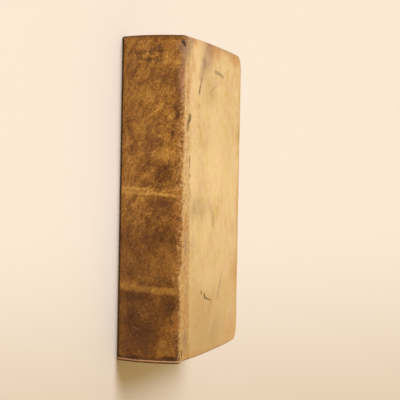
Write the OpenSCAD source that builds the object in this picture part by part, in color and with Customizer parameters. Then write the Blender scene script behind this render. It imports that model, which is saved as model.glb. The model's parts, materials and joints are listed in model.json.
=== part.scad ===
// Antique octavo book in a full skin binding, lying on its back cover.
// +X runs from head to tail, +Y from the spine to the fore edge, +Z from the back cover to the front cover.
// The origin is the centre of the book's footprint, on the surface it lies on. Millimetres.

/* [Book] */
// Height of the covers, head to tail
book_height = 170; // [130:1:220]
// Depth from the proud ends of the spine to the fore edge
book_depth = 108; // [85:1:140]
// Thickness over both covers, measured at the joints
joint_thickness = 35; // [24:0.5:50]

/* [Covers] */
// Pasteboard inside each cover
board_thickness = 1.6; // [1:0.1:3]
// Skin over the covers and the spine
leather_thickness = 0.7; // [0.5:0.05:1]
// Skin folded over onto the inner face of a board
turn_in_thickness = 0.4; // [0.3:0.05:0.7]
// Width of the folded margin on the inner face
turn_in_width = 14; // [8:1:20]
// Paper glued over the inner face
pastedown_thickness = 0.2; // [0.15:0.05:0.4]
// Bare margin between the paper and the edge of the cover
pastedown_margin = 3.5; // [2:0.5:6]
// Distance of the paper from the hinge line
pastedown_start = 1; // [0.6:0.2:3]
// Radius of the worn corners at the fore edge
corner_radius = 10; // [4:0.5:16]
// How far the front cover bows up between joint and fore edge
front_crown = 2.6; // [0:0.2:4]
// Height of the front cover's fore edge above its joint
front_rise = 1.2; // [0:0.2:3]

/* [Spine] */
// Radius of the rounded spine
spine_radius = 42; // [36:1:60]
// Radius of the ridge between the spine and a cover
ridge_radius = 2.5; // [2.4:0.1:3.5]
// Radius of the rolled edge at head and tail of the spine
cap_radius = 0.9; // [0.6:0.1:1.2]
// How far the rolled edge stands proud of the spine
cap_proud = 0.3; // [0.1:0.1:0.5]
// How far the tail of the spine reaches past the covers
tail_overhang = 0.8; // [0.4:0.2:1.6]

/* [Leaves] */
// How far the covers reach past the leaves
square_width = 3.5; // [2:0.5:6]
// Depth of the hollow in the fore edge of the leaves
fore_edge_hollow = 1.2; // [0.6:0.2:2.4]
// Play between the leaves and a closed cover
leaf_play = 0.3; // [0.2:0.1:0.8]

/* [Sewing] */
// Distance from one sewing thong to the next
thong_pitch = 50; // [36:1:56]
// Shift of the middle thong towards the head
thong_shift = 4; // [0:1:8]
// Width of a thong along the spine
thong_width = 6; // [3:0.5:8]
// Thickness of a thong over the backs of the gatherings, and of the lining that levels it
thong_thickness = 1; // [0.6:0.1:1.2]
// Length of a thong's end laced into a board
slip_length = 16; // [8:1:24]
// Thickness of a thong's end, beaten flat in its channel
slip_thickness = 0.8; // [0.5:0.1:0.9]
// Diameter of the chain of kettle stitches
stitch_diameter = 0.6; // [0.4:0.1:0.8]
// Distance of a kettle stitch from the end of the leaves
stitch_inset = 6; // [4:0.5:9]
// Diameter of an endband's core
endband_diameter = 2.4; // [1.6:0.2:3]

/* [Endband lacing] */
// Distance of the lacing slit from the edge of the cover
slit_inset = 5.2; // [4:0.2:8]
// Open length of the slit beyond the lace
slit_length = 1; // [0.6:0.2:2]
// Width of the lace
lace_width = 1.6; // [1:0.2:2.4]
// How far the lace stands proud of the front cover; under the back cover it is pressed flush
lace_proud = 0.25; // [0.1:0.05:0.4]
// Distance of the lace from the hinge line
lace_offset = 1.8; // [1.6:0.2:3]

/* [Fits] */
// Glue line between pieces of one body
glue_gap = 0.1; // [0.05:0.05:0.2]
// Gap between the spine and the edge of a cover
joint_gap = 0.3; // [0.2:0.1:0.6]

/* [Hidden] */
$fn = 96;

spine_colour = [0.45, 0.28, 0.12];
cover_colour = [0.80, 0.62, 0.38];
paper_colour = [0.88, 0.80, 0.64];
board_colour = [0.62, 0.55, 0.44];
lining_colour = [0.78, 0.70, 0.55];
thong_colour = [0.86, 0.80, 0.66];
thread_colour = [0.82, 0.74, 0.58];

over = 1;
dome_steps = 24;
dome_power = 3;

mid_z = joint_thickness / 2;
spine_face_y = cap_proud - book_depth / 2;
spine_axis_y = spine_face_y + spine_radius;
ridge_rise = mid_z - ridge_radius;
joint_y = spine_axis_y - sqrt(pow(spine_radius - ridge_radius, 2) - pow(ridge_rise, 2));
cover_width = book_depth / 2 - joint_y;
spine_half_angle = asin(ridge_rise / (spine_radius - ridge_radius));

cover_mid_x = -tail_overhang / 2;
head_x = cover_mid_x - book_height / 2;
tail_x = cover_mid_x + book_height / 2;
spine_tail_x = tail_x + tail_overhang;
leaves_head_x = head_x + square_width;
leaves_tail_x = tail_x - square_width;

board_depth = leather_thickness + board_thickness;
turn_in_depth = board_depth + turn_in_thickness;
cover_depth = turn_in_depth + pastedown_thickness;
window_inset = leather_thickness + turn_in_width;

thong_inset = leather_thickness + glue_gap;
block_inset = thong_inset + thong_thickness + glue_gap;
block_radius = spine_radius - block_inset;
endband_half_angle = asin((mid_z - cover_depth - leaf_play) / block_radius);
thong_x = [for (i = [-1:1]) cover_mid_x - thong_shift + i * thong_pitch];
stitch_x = [leaves_head_x + stitch_inset, leaves_tail_x - stitch_inset];
lining_edge = thong_width / 2 + glue_gap;
stitch_edge = stitch_diameter / 2 + glue_gap;

// A cover's bow is [crown, rise]: the front one is bowed, the back one lies flat
front_bow = [front_crown, front_rise];
back_bow = [0, 0];

// Extrudes a section drawn in Y and Z from one place on X to another
module along_x(from, to) {
  translate([from, 0, 0]) rotate([90, 0, 90]) linear_extrude(height = to - from) children();
}

// Turns a profile, drawn as distance from the spine's axis and place on X, along the spine's arc
module along_spine_arc(half_angle) {
  translate([0, spine_axis_y, mid_z])
    rotate([0, 90, 0])
      rotate([0, 0, 270 - half_angle])
        rotate_extrude(angle = 2 * half_angle) children();
}

// Everything inside the spine's outer surface moved in by inset, with a straight run of reach past the joints
module spine_section(inset, reach) {
  big = spine_radius - inset;
  small = ridge_radius - inset;
  half = big * ridge_rise / (spine_radius - ridge_radius);
  intersection() {
    translate([spine_axis_y, mid_z]) circle(r = big);
    translate([spine_face_y, mid_z - half]) square([joint_y - spine_face_y, 2 * half]);
  }
  for (z = [ridge_radius, joint_thickness - ridge_radius])
    intersection() {
      translate([joint_y, z]) circle(r = small);
      translate([joint_y - ridge_radius, z - ridge_radius]) square([ridge_radius, 2 * ridge_radius]);
    }
  translate([joint_y - over / 2, inset]) square([over / 2 + reach, joint_thickness - 2 * inset]);
}

// A layer of the spine between two insets from its outer surface
module spine_layer(outer_inset, inner_inset) {
  difference() {
    spine_section(outer_inset, 0);
    spine_section(inner_inset, over);
  }
}

// Height of a cover's outer face above its joint, at a distance from the joint
function lift(bow, u) =
  bow[1] * u / cover_width + bow[0] * (1 - pow(abs(2 * u / cover_width - 1), dome_power));

// Section of a cover between two depths under its outer face
module cover_band(bow, top, bottom) {
  steps = bow[0] > 0 ? dome_steps : 1;
  places = [for (i = [0:steps]) -over + (cover_width + 2 * over) * i / steps];
  polygon(concat(
    [for (u = places) [u, lift(bow, u) - top]],
    [for (i = [steps:-1:0]) [places[i], lift(bow, places[i]) - bottom]]
  ));
}

// Outline of a cover taken in by inset at head, tail and fore edge, from a start at the spine side
module cover_outline(inset, start) {
  r = corner_radius > inset ? corner_radius - inset : 0;
  half = book_height / 2 - inset;
  edge = cover_width - inset;
  translate([-half, start]) square([2 * half, edge - r - start]);
  translate([r - half, start]) square([2 * (half - r), edge - start]);
  if (r > 0)
    for (side = [-1, 1]) translate([side * (half - r), edge - r]) circle(r = r);
}

// A layer of a cover between two depths, over the outline given as a child
module cover_layer(bow, top, bottom) {
  intersection() {
    along_x(-book_height, book_height) cover_band(bow, top, bottom);
    translate([0, 0, -book_depth]) linear_extrude(height = 2 * book_depth) children();
  }
}

// Puts a cover's pieces on the front of the book or, turned over, on its back
module on_front() {
  translate([cover_mid_x, joint_y, joint_thickness]) children();
}

module on_back() {
  translate([cover_mid_x, joint_y, 0]) mirror([0, 0, 1]) children();
}

module lace_outline(side, margin) {
  near = book_height / 2 - slit_inset - margin;
  length = slit_inset + 2 * margin;
  translate([side > 0 ? near : -near - length, lace_offset - margin])
    square([length, lace_width + 2 * margin]);
}

// The open end of a lacing slit, next to the lace's end
module slit_outline(side) {
  near = book_height / 2 - slit_inset - slit_length;
  length = slit_length + lace_width;
  translate([side > 0 ? near : -near - length, lace_offset - glue_gap])
    square([length, lace_width + 2 * glue_gap]);
}

module cover_leather(bow) {
  difference() {
    cover_layer(bow, 0, turn_in_depth) cover_outline(0, joint_gap);
    cover_layer(bow, leather_thickness, board_depth) cover_outline(leather_thickness, -over);
    cover_layer(bow, board_depth - over / 2, turn_in_depth + over) cover_outline(window_inset, -over);
    for (side = [-1, 1]) {
      cover_layer(bow, -over, leather_thickness / 2) lace_outline(side, glue_gap);
      cover_layer(bow, -over, leather_thickness) slit_outline(side);
    }
  }
}

module cover_board(bow) {
  difference() {
    cover_layer(bow, leather_thickness, board_depth)
      cover_outline(leather_thickness + glue_gap, joint_gap);
    for (x = thong_x)
      cover_layer(bow, leather_thickness - over / 2, leather_thickness + slip_thickness)
        translate([x - cover_mid_x - thong_width / 2 - glue_gap, -over])
          square([thong_width + 2 * glue_gap, slip_length + over + glue_gap]);
  }
}

// Paper over the turned-in margins, pressed down onto the board inside them
module cover_pastedown(bow) {
  difference() {
    cover_layer(bow, board_depth, cover_depth) cover_outline(pastedown_margin, pastedown_start);
    cover_layer(bow, board_depth - over / 2, turn_in_depth)
      difference() {
        cover_outline(0, -over);
        cover_outline(window_inset, -over);
      }
    cover_layer(bow, board_depth + pastedown_thickness, cover_depth + over)
      cover_outline(window_inset + pastedown_thickness, -over);
  }
}

module cover_slip(bow, x) {
  cover_layer(bow, leather_thickness, leather_thickness + slip_thickness)
    translate([x - cover_mid_x - thong_width / 2, joint_gap])
      square([thong_width, slip_length - joint_gap]);
}

// End of an endband's core: it lies over the joint and dips into its slit
module cover_lace(bow, side, proud) {
  cover_layer(bow, -proud, leather_thickness / 2) lace_outline(side, 0);
  cover_layer(bow, 0, leather_thickness)
    intersection() {
      lace_outline(side, 0);
      slit_outline(side);
    }
}

module front_leather() { color(cover_colour) on_front() cover_leather(front_bow); }
module front_board() { color(board_colour) on_front() cover_board(front_bow); }
module front_pastedown() { color(paper_colour) on_front() cover_pastedown(front_bow); }
module front_slip(i) { color(thong_colour) on_front() cover_slip(front_bow, thong_x[i]); }
module front_lace(side) { color(thong_colour) on_front() cover_lace(front_bow, side, lace_proud); }

module back_leather() { color(cover_colour) on_back() cover_leather(back_bow); }
module back_board() { color(board_colour) on_back() cover_board(back_bow); }
module back_pastedown() { color(paper_colour) on_back() cover_pastedown(back_bow); }
module back_slip(i) { color(thong_colour) on_back() cover_slip(back_bow, thong_x[i]); }
module back_lace(side) { color(thong_colour) on_back() cover_lace(back_bow, side, 0); }

// Rolled edge of the skin across one end of the spine, end being its outermost place on X
module spine_cap(end, side) {
  along_spine_arc(spine_half_angle)
    translate([spine_radius + cap_proud - cap_radius, end - side * cap_radius]) circle(r = cap_radius, $fn = 32);
}

module spine_leather() {
  color(spine_colour) {
    along_x(head_x + cap_radius, spine_tail_x - cap_radius) spine_layer(0, leather_thickness);
    spine_cap(head_x, -1);
    spine_cap(spine_tail_x, 1);
  }
}

// All the leaves: rounded against the spine, shouldered under the joints and hollow at the fore edge
module text_block() {
  fore_y = book_depth / 2 - square_width;
  low = cover_depth + leaf_play;
  high = joint_thickness - low;
  hollow_half = (high + front_crown - low) / 2;
  hollow_radius = (pow(hollow_half, 2) + pow(fore_edge_hollow, 2)) / (2 * fore_edge_hollow);
  leaf_width = fore_y - joint_y;
  color(paper_colour)
    along_x(leaves_head_x, leaves_tail_x)
      difference() {
        union() {
          spine_section(block_inset, 0);
          polygon(concat(
            [[joint_y - over / 2, low], [fore_y, low]],
            [for (i = [dome_steps:-1:0])
              [joint_y + leaf_width * i / dome_steps, high + lift(front_bow, leaf_width * i / dome_steps)]],
            [[joint_y - over / 2, high]]
          ));
        }
        translate([fore_y + hollow_radius - fore_edge_hollow, low + hollow_half]) circle(r = hollow_radius);
      }
}

// A strip of the layer between the leaves and the skin, from one joint round the spine to the other
module sewing_layer(from, to) {
  along_x(from, to) spine_layer(thong_inset, thong_inset + thong_thickness);
}

module thong(x) { color(thong_colour) sewing_layer(x - thong_width / 2, x + thong_width / 2); }
module lining(from, to) { color(lining_colour) sewing_layer(from, to); }

module kettle_stitch(x) {
  color(thread_colour)
    along_spine_arc(spine_half_angle)
      translate([block_radius + glue_gap + stitch_diameter / 2, x]) circle(d = stitch_diameter, $fn = 24);
}

// A round core across the end of the leaves, side being -1 at the head and 1 at the tail
module endband(leaves_end, side) {
  color(thread_colour)
    along_spine_arc(endband_half_angle)
      translate([block_radius - endband_diameter / 2, leaves_end + side * (glue_gap + endband_diameter / 2)])
        circle(d = endband_diameter, $fn = 32);
}

text_block();
spine_leather();
endband(leaves_head_x, -1);  // head_endband
endband(leaves_tail_x, 1);  // tail_endband
thong(thong_x[0]);  // head_thong
thong(thong_x[1]);  // middle_thong
thong(thong_x[2]);  // tail_thong
lining(stitch_x[0] + stitch_edge, thong_x[0] - lining_edge);  // head_lining
lining(thong_x[0] + lining_edge, thong_x[1] - lining_edge);  // upper_lining
lining(thong_x[1] + lining_edge, thong_x[2] - lining_edge);  // lower_lining
lining(thong_x[2] + lining_edge, stitch_x[1] - stitch_edge);  // tail_lining
kettle_stitch(stitch_x[0]);  // head_kettle_stitch
kettle_stitch(stitch_x[1]);  // tail_kettle_stitch
front_leather();
front_board();
front_pastedown();
front_slip(0);  // front_head_slip
front_slip(1);  // front_middle_slip
front_slip(2);  // front_tail_slip
front_lace(-1);  // front_head_lace
front_lace(1);  // front_tail_lace
back_leather();
back_board();
back_pastedown();
back_slip(0);  // back_head_slip
back_slip(1);  // back_middle_slip
back_slip(2);  // back_tail_slip
back_lace(-1);  // back_head_lace
back_lace(1);  // back_tail_lace
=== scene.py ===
"""Antique octavo book in a worn full skin binding, lying on its back cover.

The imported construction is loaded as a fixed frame. The covering skin, the leaves, the papers, the
endbands and the laces are modelled over it, every node gets a finish, and a camera, a lamp and a
floor show the book.
"""

from __future__ import annotations

import json
import logging
import math
from collections.abc import Callable, Iterable, Sequence
from dataclasses import dataclass
from enum import Enum
from typing import Any

import bpy
from mathutils import Matrix, Vector, noise

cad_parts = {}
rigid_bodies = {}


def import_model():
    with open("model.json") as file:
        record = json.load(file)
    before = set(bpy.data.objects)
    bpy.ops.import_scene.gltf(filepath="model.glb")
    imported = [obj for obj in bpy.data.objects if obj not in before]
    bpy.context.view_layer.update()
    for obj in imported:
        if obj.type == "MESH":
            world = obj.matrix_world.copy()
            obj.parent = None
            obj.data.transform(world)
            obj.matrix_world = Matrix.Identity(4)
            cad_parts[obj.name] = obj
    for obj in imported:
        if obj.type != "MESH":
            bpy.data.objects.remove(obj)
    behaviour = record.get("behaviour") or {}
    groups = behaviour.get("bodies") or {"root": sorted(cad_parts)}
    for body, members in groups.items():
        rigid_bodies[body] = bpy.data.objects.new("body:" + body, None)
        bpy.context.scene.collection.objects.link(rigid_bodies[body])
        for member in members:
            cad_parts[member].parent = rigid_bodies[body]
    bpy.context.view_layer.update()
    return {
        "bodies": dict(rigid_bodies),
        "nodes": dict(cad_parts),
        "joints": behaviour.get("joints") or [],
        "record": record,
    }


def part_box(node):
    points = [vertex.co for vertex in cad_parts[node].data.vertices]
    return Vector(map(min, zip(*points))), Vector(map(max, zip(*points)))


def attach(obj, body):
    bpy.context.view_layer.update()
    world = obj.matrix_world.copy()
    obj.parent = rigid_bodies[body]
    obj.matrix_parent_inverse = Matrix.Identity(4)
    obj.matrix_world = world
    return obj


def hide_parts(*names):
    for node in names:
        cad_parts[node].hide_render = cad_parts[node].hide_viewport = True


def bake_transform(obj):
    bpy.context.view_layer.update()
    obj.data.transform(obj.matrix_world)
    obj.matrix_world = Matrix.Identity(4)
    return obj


LOG = logging.getLogger("book")
MM = 0.001
PLACE = "skin_place"
NOISE_SEED = 1354
MERGE_DISTANCE = 0.001 * MM
THREAD_ANGLE = 60.0
Triple = tuple[float, float, float]
Colour = Triple
Link = bpy.types.NodeSocket
Material = bpy.types.Material
Piece = bpy.types.Object


class Side(Enum):
    """The two covers of the book."""

    FRONT = "front"
    BACK = "back"


class End(Enum):
    """The two ends of the book, with the sign of their direction on X."""

    HEAD = -1
    TAIL = 1


def smooth(value: float, low: float, high: float) -> float:
    """Return a share that rises smoothly from 0 at low to 1 at high."""
    share = min(1.0, max(0.0, (value - low) / (high - low)))
    return share * share * (3.0 - 2.0 * share)


def bump(value: float, centre: float, width: float) -> float:
    """Return a bell curve of height 1 round a centre."""
    return math.exp(-(((value - centre) / width) ** 2))


def wave(along: float, across: float, size: float, seed: float) -> float:
    """Return noise from about -1 to 1 at a place, with features of a size in millimetres."""
    return noise.noise(Vector((along / size, across / size, seed)))


def graded(start: float, *stretches: tuple[float, float]) -> list[float]:
    """List places along a line whose spacing changes from stretch to stretch.

    Args:
        start: The first place.
        stretches: For each stretch, where it ends and its spacing.

    Returns:
        The places in order, both ends of every stretch among them.
    """
    places = [start]
    for end, spacing in stretches:
        begin = places[-1]
        count = max(1, round((end - begin) / spacing))
        places += [begin + (end - begin) * i / count for i in range(1, count + 1)]
    return places


def tone(red: int, green: int, blue: int) -> Colour:
    """Turn an 8-bit display colour into linear light."""
    levels = (red / 255.0, green / 255.0, blue / 255.0)
    return tuple(c / 12.92 if c <= 0.04045 else ((c + 0.055) / 1.055) ** 2.4 for c in levels)


@dataclass(frozen=True)
class BookForm:
    """Sizes of the binding in millimetres, in the frame's axes.

    Attributes:
        hinge_y: Place of both joint lines on Y.
        thickness: Thickness over both covers at the joints.
        head: Head edge of the covers on X.
        tail: Tail edge of the covers on X.
        spine_tail: Tail end of the spine on X.
        fore: Fore edge of the covers on Y.
        thongs: Places of the three thongs on X, from the head.
        spine_radius: Radius of the spine's arc.
        ridge_radius: Radius of the ridge along each joint.
        corner_radius: Radius of a cover's fore corners.
        crown: Height of the front cover's dome.
        rise: How much higher the front cover lies at its fore edge than at its joint.
        crown_power: How flat the dome is in its middle.
        leather: Thickness of the skin's node.
        turn_in_depth: Depth of the turned-in skin under a cover's outer face.
        cover_depth: Thickness of a cover with its turned-in skin and its paper.
        turn_in: Width of the turned-in skin.
        square: How far the covers stand out past the leaves.
        leaf_play: Gap between the leaves and each cover.
        block_inset: Depth of the leaves' backs under the spine's outer face.
        cap_proud: How far the spine's rolled ends stand proud.
        cap_radius: Radius of the spine's rolled ends.
        thong_width: Width of a thong.
        slip_length: Length of a thong's end in its board.
    """

    hinge_y: float
    thickness: float
    head: float
    tail: float
    spine_tail: float
    fore: float
    thongs: tuple[float, ...]
    spine_radius: float = 42.0
    ridge_radius: float = 2.5
    corner_radius: float = 10.0
    crown: float = 2.6
    rise: float = 1.2
    crown_power: float = 3.0
    leather: float = 0.7
    turn_in_depth: float = 2.7
    cover_depth: float = 2.9
    turn_in: float = 14.0
    square: float = 3.5
    leaf_play: float = 0.3
    block_inset: float = 1.9
    cap_proud: float = 0.3
    cap_radius: float = 1.0
    thong_width: float = 6.0
    slip_length: float = 16.0

    @classmethod
    def from_frame(cls, frame: dict[str, Any]) -> BookForm:
        """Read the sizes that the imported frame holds.


        Returns:
            The form of the book.
        """
        joints = {j["name"]: j for j in frame["record"]["behaviour"]["joints"]}
        low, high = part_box("back_leather")
        spine_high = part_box("spine_leather")[1]
        _, hinge_y, _ = joints["front_joint"]["pos_m"]
        boxes = [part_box(f"{name}_thong") for name in ("head", "middle", "tail")]
        return cls(
            hinge_y=hinge_y / MM,
            thickness=spine_high.z / MM,
            head=low.x / MM,
            tail=high.x / MM,
            spine_tail=spine_high.x / MM,
            fore=high.y / MM,
            thongs=tuple((box[0].x + box[1].x) / 2 / MM for box in boxes),
        )

    @property
    def cover_width(self) -> float:
        """Width of a cover from its joint line to the fore edge."""
        return self.fore - self.hinge_y

    @property
    def half_height(self) -> float:
        """Half the height of a cover, head to tail."""
        return (self.tail - self.head) / 2

    @property
    def middle_x(self) -> float:
        """Middle of the covers on X."""
        return (self.tail + self.head) / 2

    @property
    def spine_half_angle(self) -> float:
        """Half the angle of the spine's arc, in radians."""
        rise = self.thickness / 2 - self.ridge_radius
        return math.asin(rise / (self.spine_radius - self.ridge_radius))

    @property
    def spine_axis_y(self) -> float:
        """Place of the spine's axis on Y."""
        return self.hinge_y + (self.spine_radius - self.ridge_radius) * math.cos(self.spine_half_angle)

    @property
    def ridge_length(self) -> float:
        """Length of a ridge's arc."""
        return self.ridge_radius * (math.pi / 2 - self.spine_half_angle)

    @property
    def spine_length(self) -> float:
        """Length of the spine's arc between the two ridges."""
        return 2 * self.spine_radius * self.spine_half_angle

    @property
    def skin_width(self) -> float:
        """Length of skin over the spine from the front joint line to the back one."""
        return self.spine_length + 2 * self.ridge_length

    def lift(self, side: Side, across: float) -> float:
        """Height of a cover's outer face above its joint line.

        Args:
            side: Which cover.
            across: Distance from the joint line.

        Returns:
            The height in millimetres, 0 on the flat back cover.
        """
        if side is Side.BACK:
            return 0.0
        share = min(1.0, max(0.0, across / self.cover_width))
        return self.rise * share + self.crown * (1 - abs(2 * share - 1) ** self.crown_power)

    def section(self, side: Side, across: float) -> tuple[Vector, Vector]:
        """Walk the outer line of the binding in the YZ plane.

        Args:
            side: The half of the binding to walk, from its joint line.
            across: Distance from the joint line, positive over the cover and negative round the spine.

        Returns:
            The place and the outward direction there, both with X at 0.
        """
        if across >= 0:
            y, z, turn = self.hinge_y + across, self.thickness + self.lift(side, across), math.pi / 2
        elif -across <= self.ridge_length:
            turn = math.pi / 2 - across / self.ridge_radius
            y = self.hinge_y + self.ridge_radius * math.cos(turn)
            z = self.thickness - self.ridge_radius * (1 - math.sin(turn))
        elif -across <= self.ridge_length + self.spine_length:
            turn = math.pi - self.spine_half_angle + (-across - self.ridge_length) / self.spine_radius
            y = self.spine_axis_y + self.spine_radius * math.cos(turn)
            z = self.thickness / 2 + self.spine_radius * math.sin(turn)
        else:
            walked = -across - self.ridge_length - self.spine_length
            turn = math.pi + self.spine_half_angle + walked / self.ridge_radius
            y = self.hinge_y + self.ridge_radius * math.cos(turn)
            z = self.ridge_radius * (1 + math.sin(turn))
        outward = Vector((0.0, math.cos(turn), math.sin(turn)))
        if side is Side.BACK:
            z, outward.z = self.thickness - z, -outward.z
        return Vector((0.0, y, z)), outward


class Modeller:
    """Short calls on the modelling operators that every piece uses."""

    @staticmethod
    def select_only(piece: Piece) -> None:
        """Make one object the only selected and the active one.

        Args:
            piece: The object.
        """
        bpy.ops.object.select_all(action="DESELECT")
        piece.select_set(True)
        bpy.context.view_layer.objects.active = piece

    @classmethod
    def on_all(cls, piece: Piece, operator: Callable[..., Any], **settings: Any) -> None:
        """Run one mesh operator on all of a piece.

        Args:
            piece: The piece.
            operator: The operator.
            settings: The operator's settings.
        """
        cls.select_only(piece)
        bpy.ops.object.mode_set(mode="EDIT")
        bpy.ops.mesh.select_all(action="SELECT")
        operator(**settings)
        bpy.ops.object.mode_set(mode="OBJECT")

    @classmethod
    def grid(cls, name: str, columns: int, rows: int) -> Piece:
        """Add a flat grid from -1 to 1 both ways.

        Args:
            name: The piece's name.
            columns: Number of cells on X.
            rows: Number of cells on Y.

        Returns:
            The grid.
        """
        bpy.ops.object.select_all(action="DESELECT")
        bpy.ops.mesh.primitive_grid_add(x_subdivisions=columns, y_subdivisions=rows, size=2.0)
        return cls.named(name)

    @classmethod
    def block(cls, name: str, cuts: int) -> Piece:
        """Add a cube from -1 to 1 whose faces are cut into equal cells.

        Args:
            name: The piece's name.
            cuts: Number of cuts across each face, both ways.

        Returns:
            The cube.
        """
        bpy.ops.object.select_all(action="DESELECT")
        bpy.ops.mesh.primitive_cube_add(size=2.0)
        piece = cls.named(name)
        cls.on_all(piece, bpy.ops.mesh.subdivide, number_cuts=cuts)
        return piece

    @classmethod
    def rod(cls, name: str, sides: int, rings: int) -> Piece:
        """Add a closed rod of radius 1 from 0 to 1 on Z.

        Args:
            name: The piece's name.
            sides: Number of faces round it.
            rings: Number of faces along it.

        Returns:
            The rod.
        """
        bpy.ops.object.select_all(action="DESELECT")
        bpy.ops.mesh.primitive_circle_add(vertices=sides, radius=1.0, fill_type="NGON")
        piece = cls.named(name)
        bpy.ops.object.mode_set(mode="EDIT")
        for _ in range(rings):
            bpy.ops.mesh.select_mode(type="FACE")
            bpy.ops.mesh.extrude_region_move(TRANSFORM_OT_translate={"value": (0.0, 0.0, 1.0 / rings)})
        bpy.ops.mesh.select_all(action="SELECT")
        bpy.ops.mesh.normals_make_consistent(inside=False)
        bpy.ops.object.mode_set(mode="OBJECT")
        return piece

    @staticmethod
    def named(name: str) -> Piece:
        """Name the active object and its mesh.

        Args:
            name: The name.

        Returns:
            The object.
        """
        piece = bpy.context.object
        piece.name = name
        piece.data.name = name
        return piece

    @staticmethod
    def shape(piece: Piece, rule: Callable[[Vector], Vector]) -> None:
        """Move every vertex of a piece by a rule.

        Args:
            piece: The piece.
            rule: Turns a vertex's place into its new place in millimetres.
        """
        for vertex in piece.data.vertices:
            vertex.co = rule(vertex.co) * MM
        piece.data.update()

    @staticmethod
    def store(piece: Piece, name: str, kind: str, values: Sequence[Any]) -> None:
        """Store one value or vector at each vertex of a piece.

        Args:
            piece: The piece.
            name: Name of the attribute.
            kind: Its type, FLOAT or FLOAT_VECTOR.
            values: The values in the vertices' order.
        """
        field = "vector" if kind == "FLOAT_VECTOR" else "value"
        attribute = piece.data.attributes.new(name, kind, "POINT")
        for slot, value in zip(attribute.data, values):
            setattr(slot, field, value)

    @classmethod
    def delete_faces(cls, piece: Piece, doomed: Iterable[int]) -> None:
        """Delete some faces of a piece.

        Args:
            piece: The piece.
            doomed: Numbers of the faces.
        """
        cls.on_all(piece, bpy.ops.mesh.select_mode, type="FACE")
        cls.on_all(piece, bpy.ops.mesh.select_all, action="DESELECT")
        for number in doomed:
            piece.data.polygons[number].select = True
        bpy.ops.object.mode_set(mode="EDIT")
        bpy.ops.mesh.delete(type="FACE")
        bpy.ops.object.mode_set(mode="OBJECT")

    @classmethod
    def flip(cls, piece: Piece) -> None:
        """Turn all faces of a piece over."""
        cls.on_all(piece, bpy.ops.mesh.flip_normals)

    @classmethod
    def merge(cls, piece: Piece) -> None:
        """Merge the vertices of a piece that fall together at its poles."""
        cls.on_all(piece, bpy.ops.mesh.remove_doubles, threshold=MERGE_DISTANCE)

    @classmethod
    def thicken(cls, piece: Piece, thickness: float) -> None:
        """Give an open sheet its thickness, inwards from its faces.

        Args:
            piece: The sheet.
            thickness: The thickness in millimetres.
        """
        cls.select_only(piece)
        solid = piece.modifiers.new("thickness", "SOLIDIFY")
        solid.thickness = thickness * MM
        solid.offset = -1.0
        bpy.ops.object.modifier_apply(modifier=solid.name)

    @classmethod
    def finish(cls, piece: Piece, material: Material, angle: float = 35.0) -> None:
        """Shade a piece smooth, give it its material and report it.

        Args:
            piece: The piece.
            material: Its finish.
            angle: Edges sharper than this many degrees stay sharp.
        """
        cls.select_only(piece)
        bpy.ops.object.shade_smooth_by_angle(angle=math.radians(angle))
        piece.data.materials.clear()
        piece.data.materials.append(material)
        LOG.info("%s: %d faces", piece.name, len(piece.data.polygons))


@dataclass(frozen=True)
class Patch:
    """A soft patch on the skin laid flat.

    Attributes:
        along: Its centre, from the middle of the book towards the tail, in millimetres.
        across: Its centre, from the front joint line towards the fore edge, in millimetres.
        reach_along: Half its length.
        reach_across: Half its width.
        strength: How strongly it shows.
    """

    along: float
    across: float
    reach_along: float
    reach_across: float
    strength: float = 1.0


@dataclass(frozen=True)
class Stain:
    """Soft patches of one kind, held as a value at every vertex of the skin.

    Attributes:
        kind: What the patches are, for the name of the attribute.
        patches: The patches, added up.
        core: Share of a patch's reach within which it shows at full strength.
        fade: Share of a patch's reach past which it is gone.
    """

    kind: str
    patches: tuple[Patch, ...]
    core: float = 0.2
    fade: float = 1.45

    @property
    def attribute(self) -> str:
        """Name of the attribute that holds the stain."""
        return f"stain_{self.kind}"

    def strength(self, along: float, across: float) -> float:
        """Add the patches up at a place of the skin laid flat.

        Args:
            along: Distance from the middle of the book towards the tail.
            across: Distance from the front joint line towards the fore edge.

        Returns:
            How strong the stain is there, 0 away from all patches.
        """
        total = 0.0
        for patch in self.patches:
            off_along = (along - patch.along) / patch.reach_along
            off_across = (across - patch.across) / patch.reach_across
            off = off_along * off_along + off_across * off_across
            if off < self.fade**2:
                total += patch.strength * (1.0 - smooth(math.sqrt(off), self.core, self.fade))
        return total


@dataclass(frozen=True)
class Stroke:
    """A narrow straight mark on the skin laid flat, in millimetres.

    Attributes:
        start: One end, along and across the skin.
        end: The other end.
        half_width: Half its width.
        strength: How strongly it shows.
    """

    start: tuple[float, float]
    end: tuple[float, float]
    half_width: float
    strength: float = 1.0

    @property
    def core(self) -> float:
        """Distance from the mark's line within which it shows at full strength."""
        return self.half_width * 0.3

    @property
    def fade(self) -> float:
        """Distance from the mark's line past which it is gone."""
        return self.half_width * 2.2


@dataclass(frozen=True)
class Dent:
    """A small lump or slit in the skin, in millimetres on the skin laid flat.

    Attributes:
        along: Its centre, from the middle of the book towards the tail.
        across: Its centre, from the front joint line towards the fore edge.
        reach_along: Half its length.
        reach_across: Half its width.
        height: Its height at the centre, negative for a slit.
        lean: How far it runs along for each millimetre across.
    """

    along: float
    across: float
    reach_along: float
    reach_across: float
    height: float
    lean: float = 0.0

    def at(self, along: float, across: float) -> float:
        """Give the height at a place of the skin.

        Args:
            along: Distance from the middle of the book towards the tail.
            across: Distance from the front joint line towards the fore edge.

        Returns:
            The height in millimetres, next to nothing away from the dent.
        """
        off_across = across - self.across
        off_along = (along - self.along) - off_across * self.lean
        shares = off_along / self.reach_along, off_across / self.reach_across
        return self.height * math.exp(-(shares[0] ** 2) - shares[1] ** 2)


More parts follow.
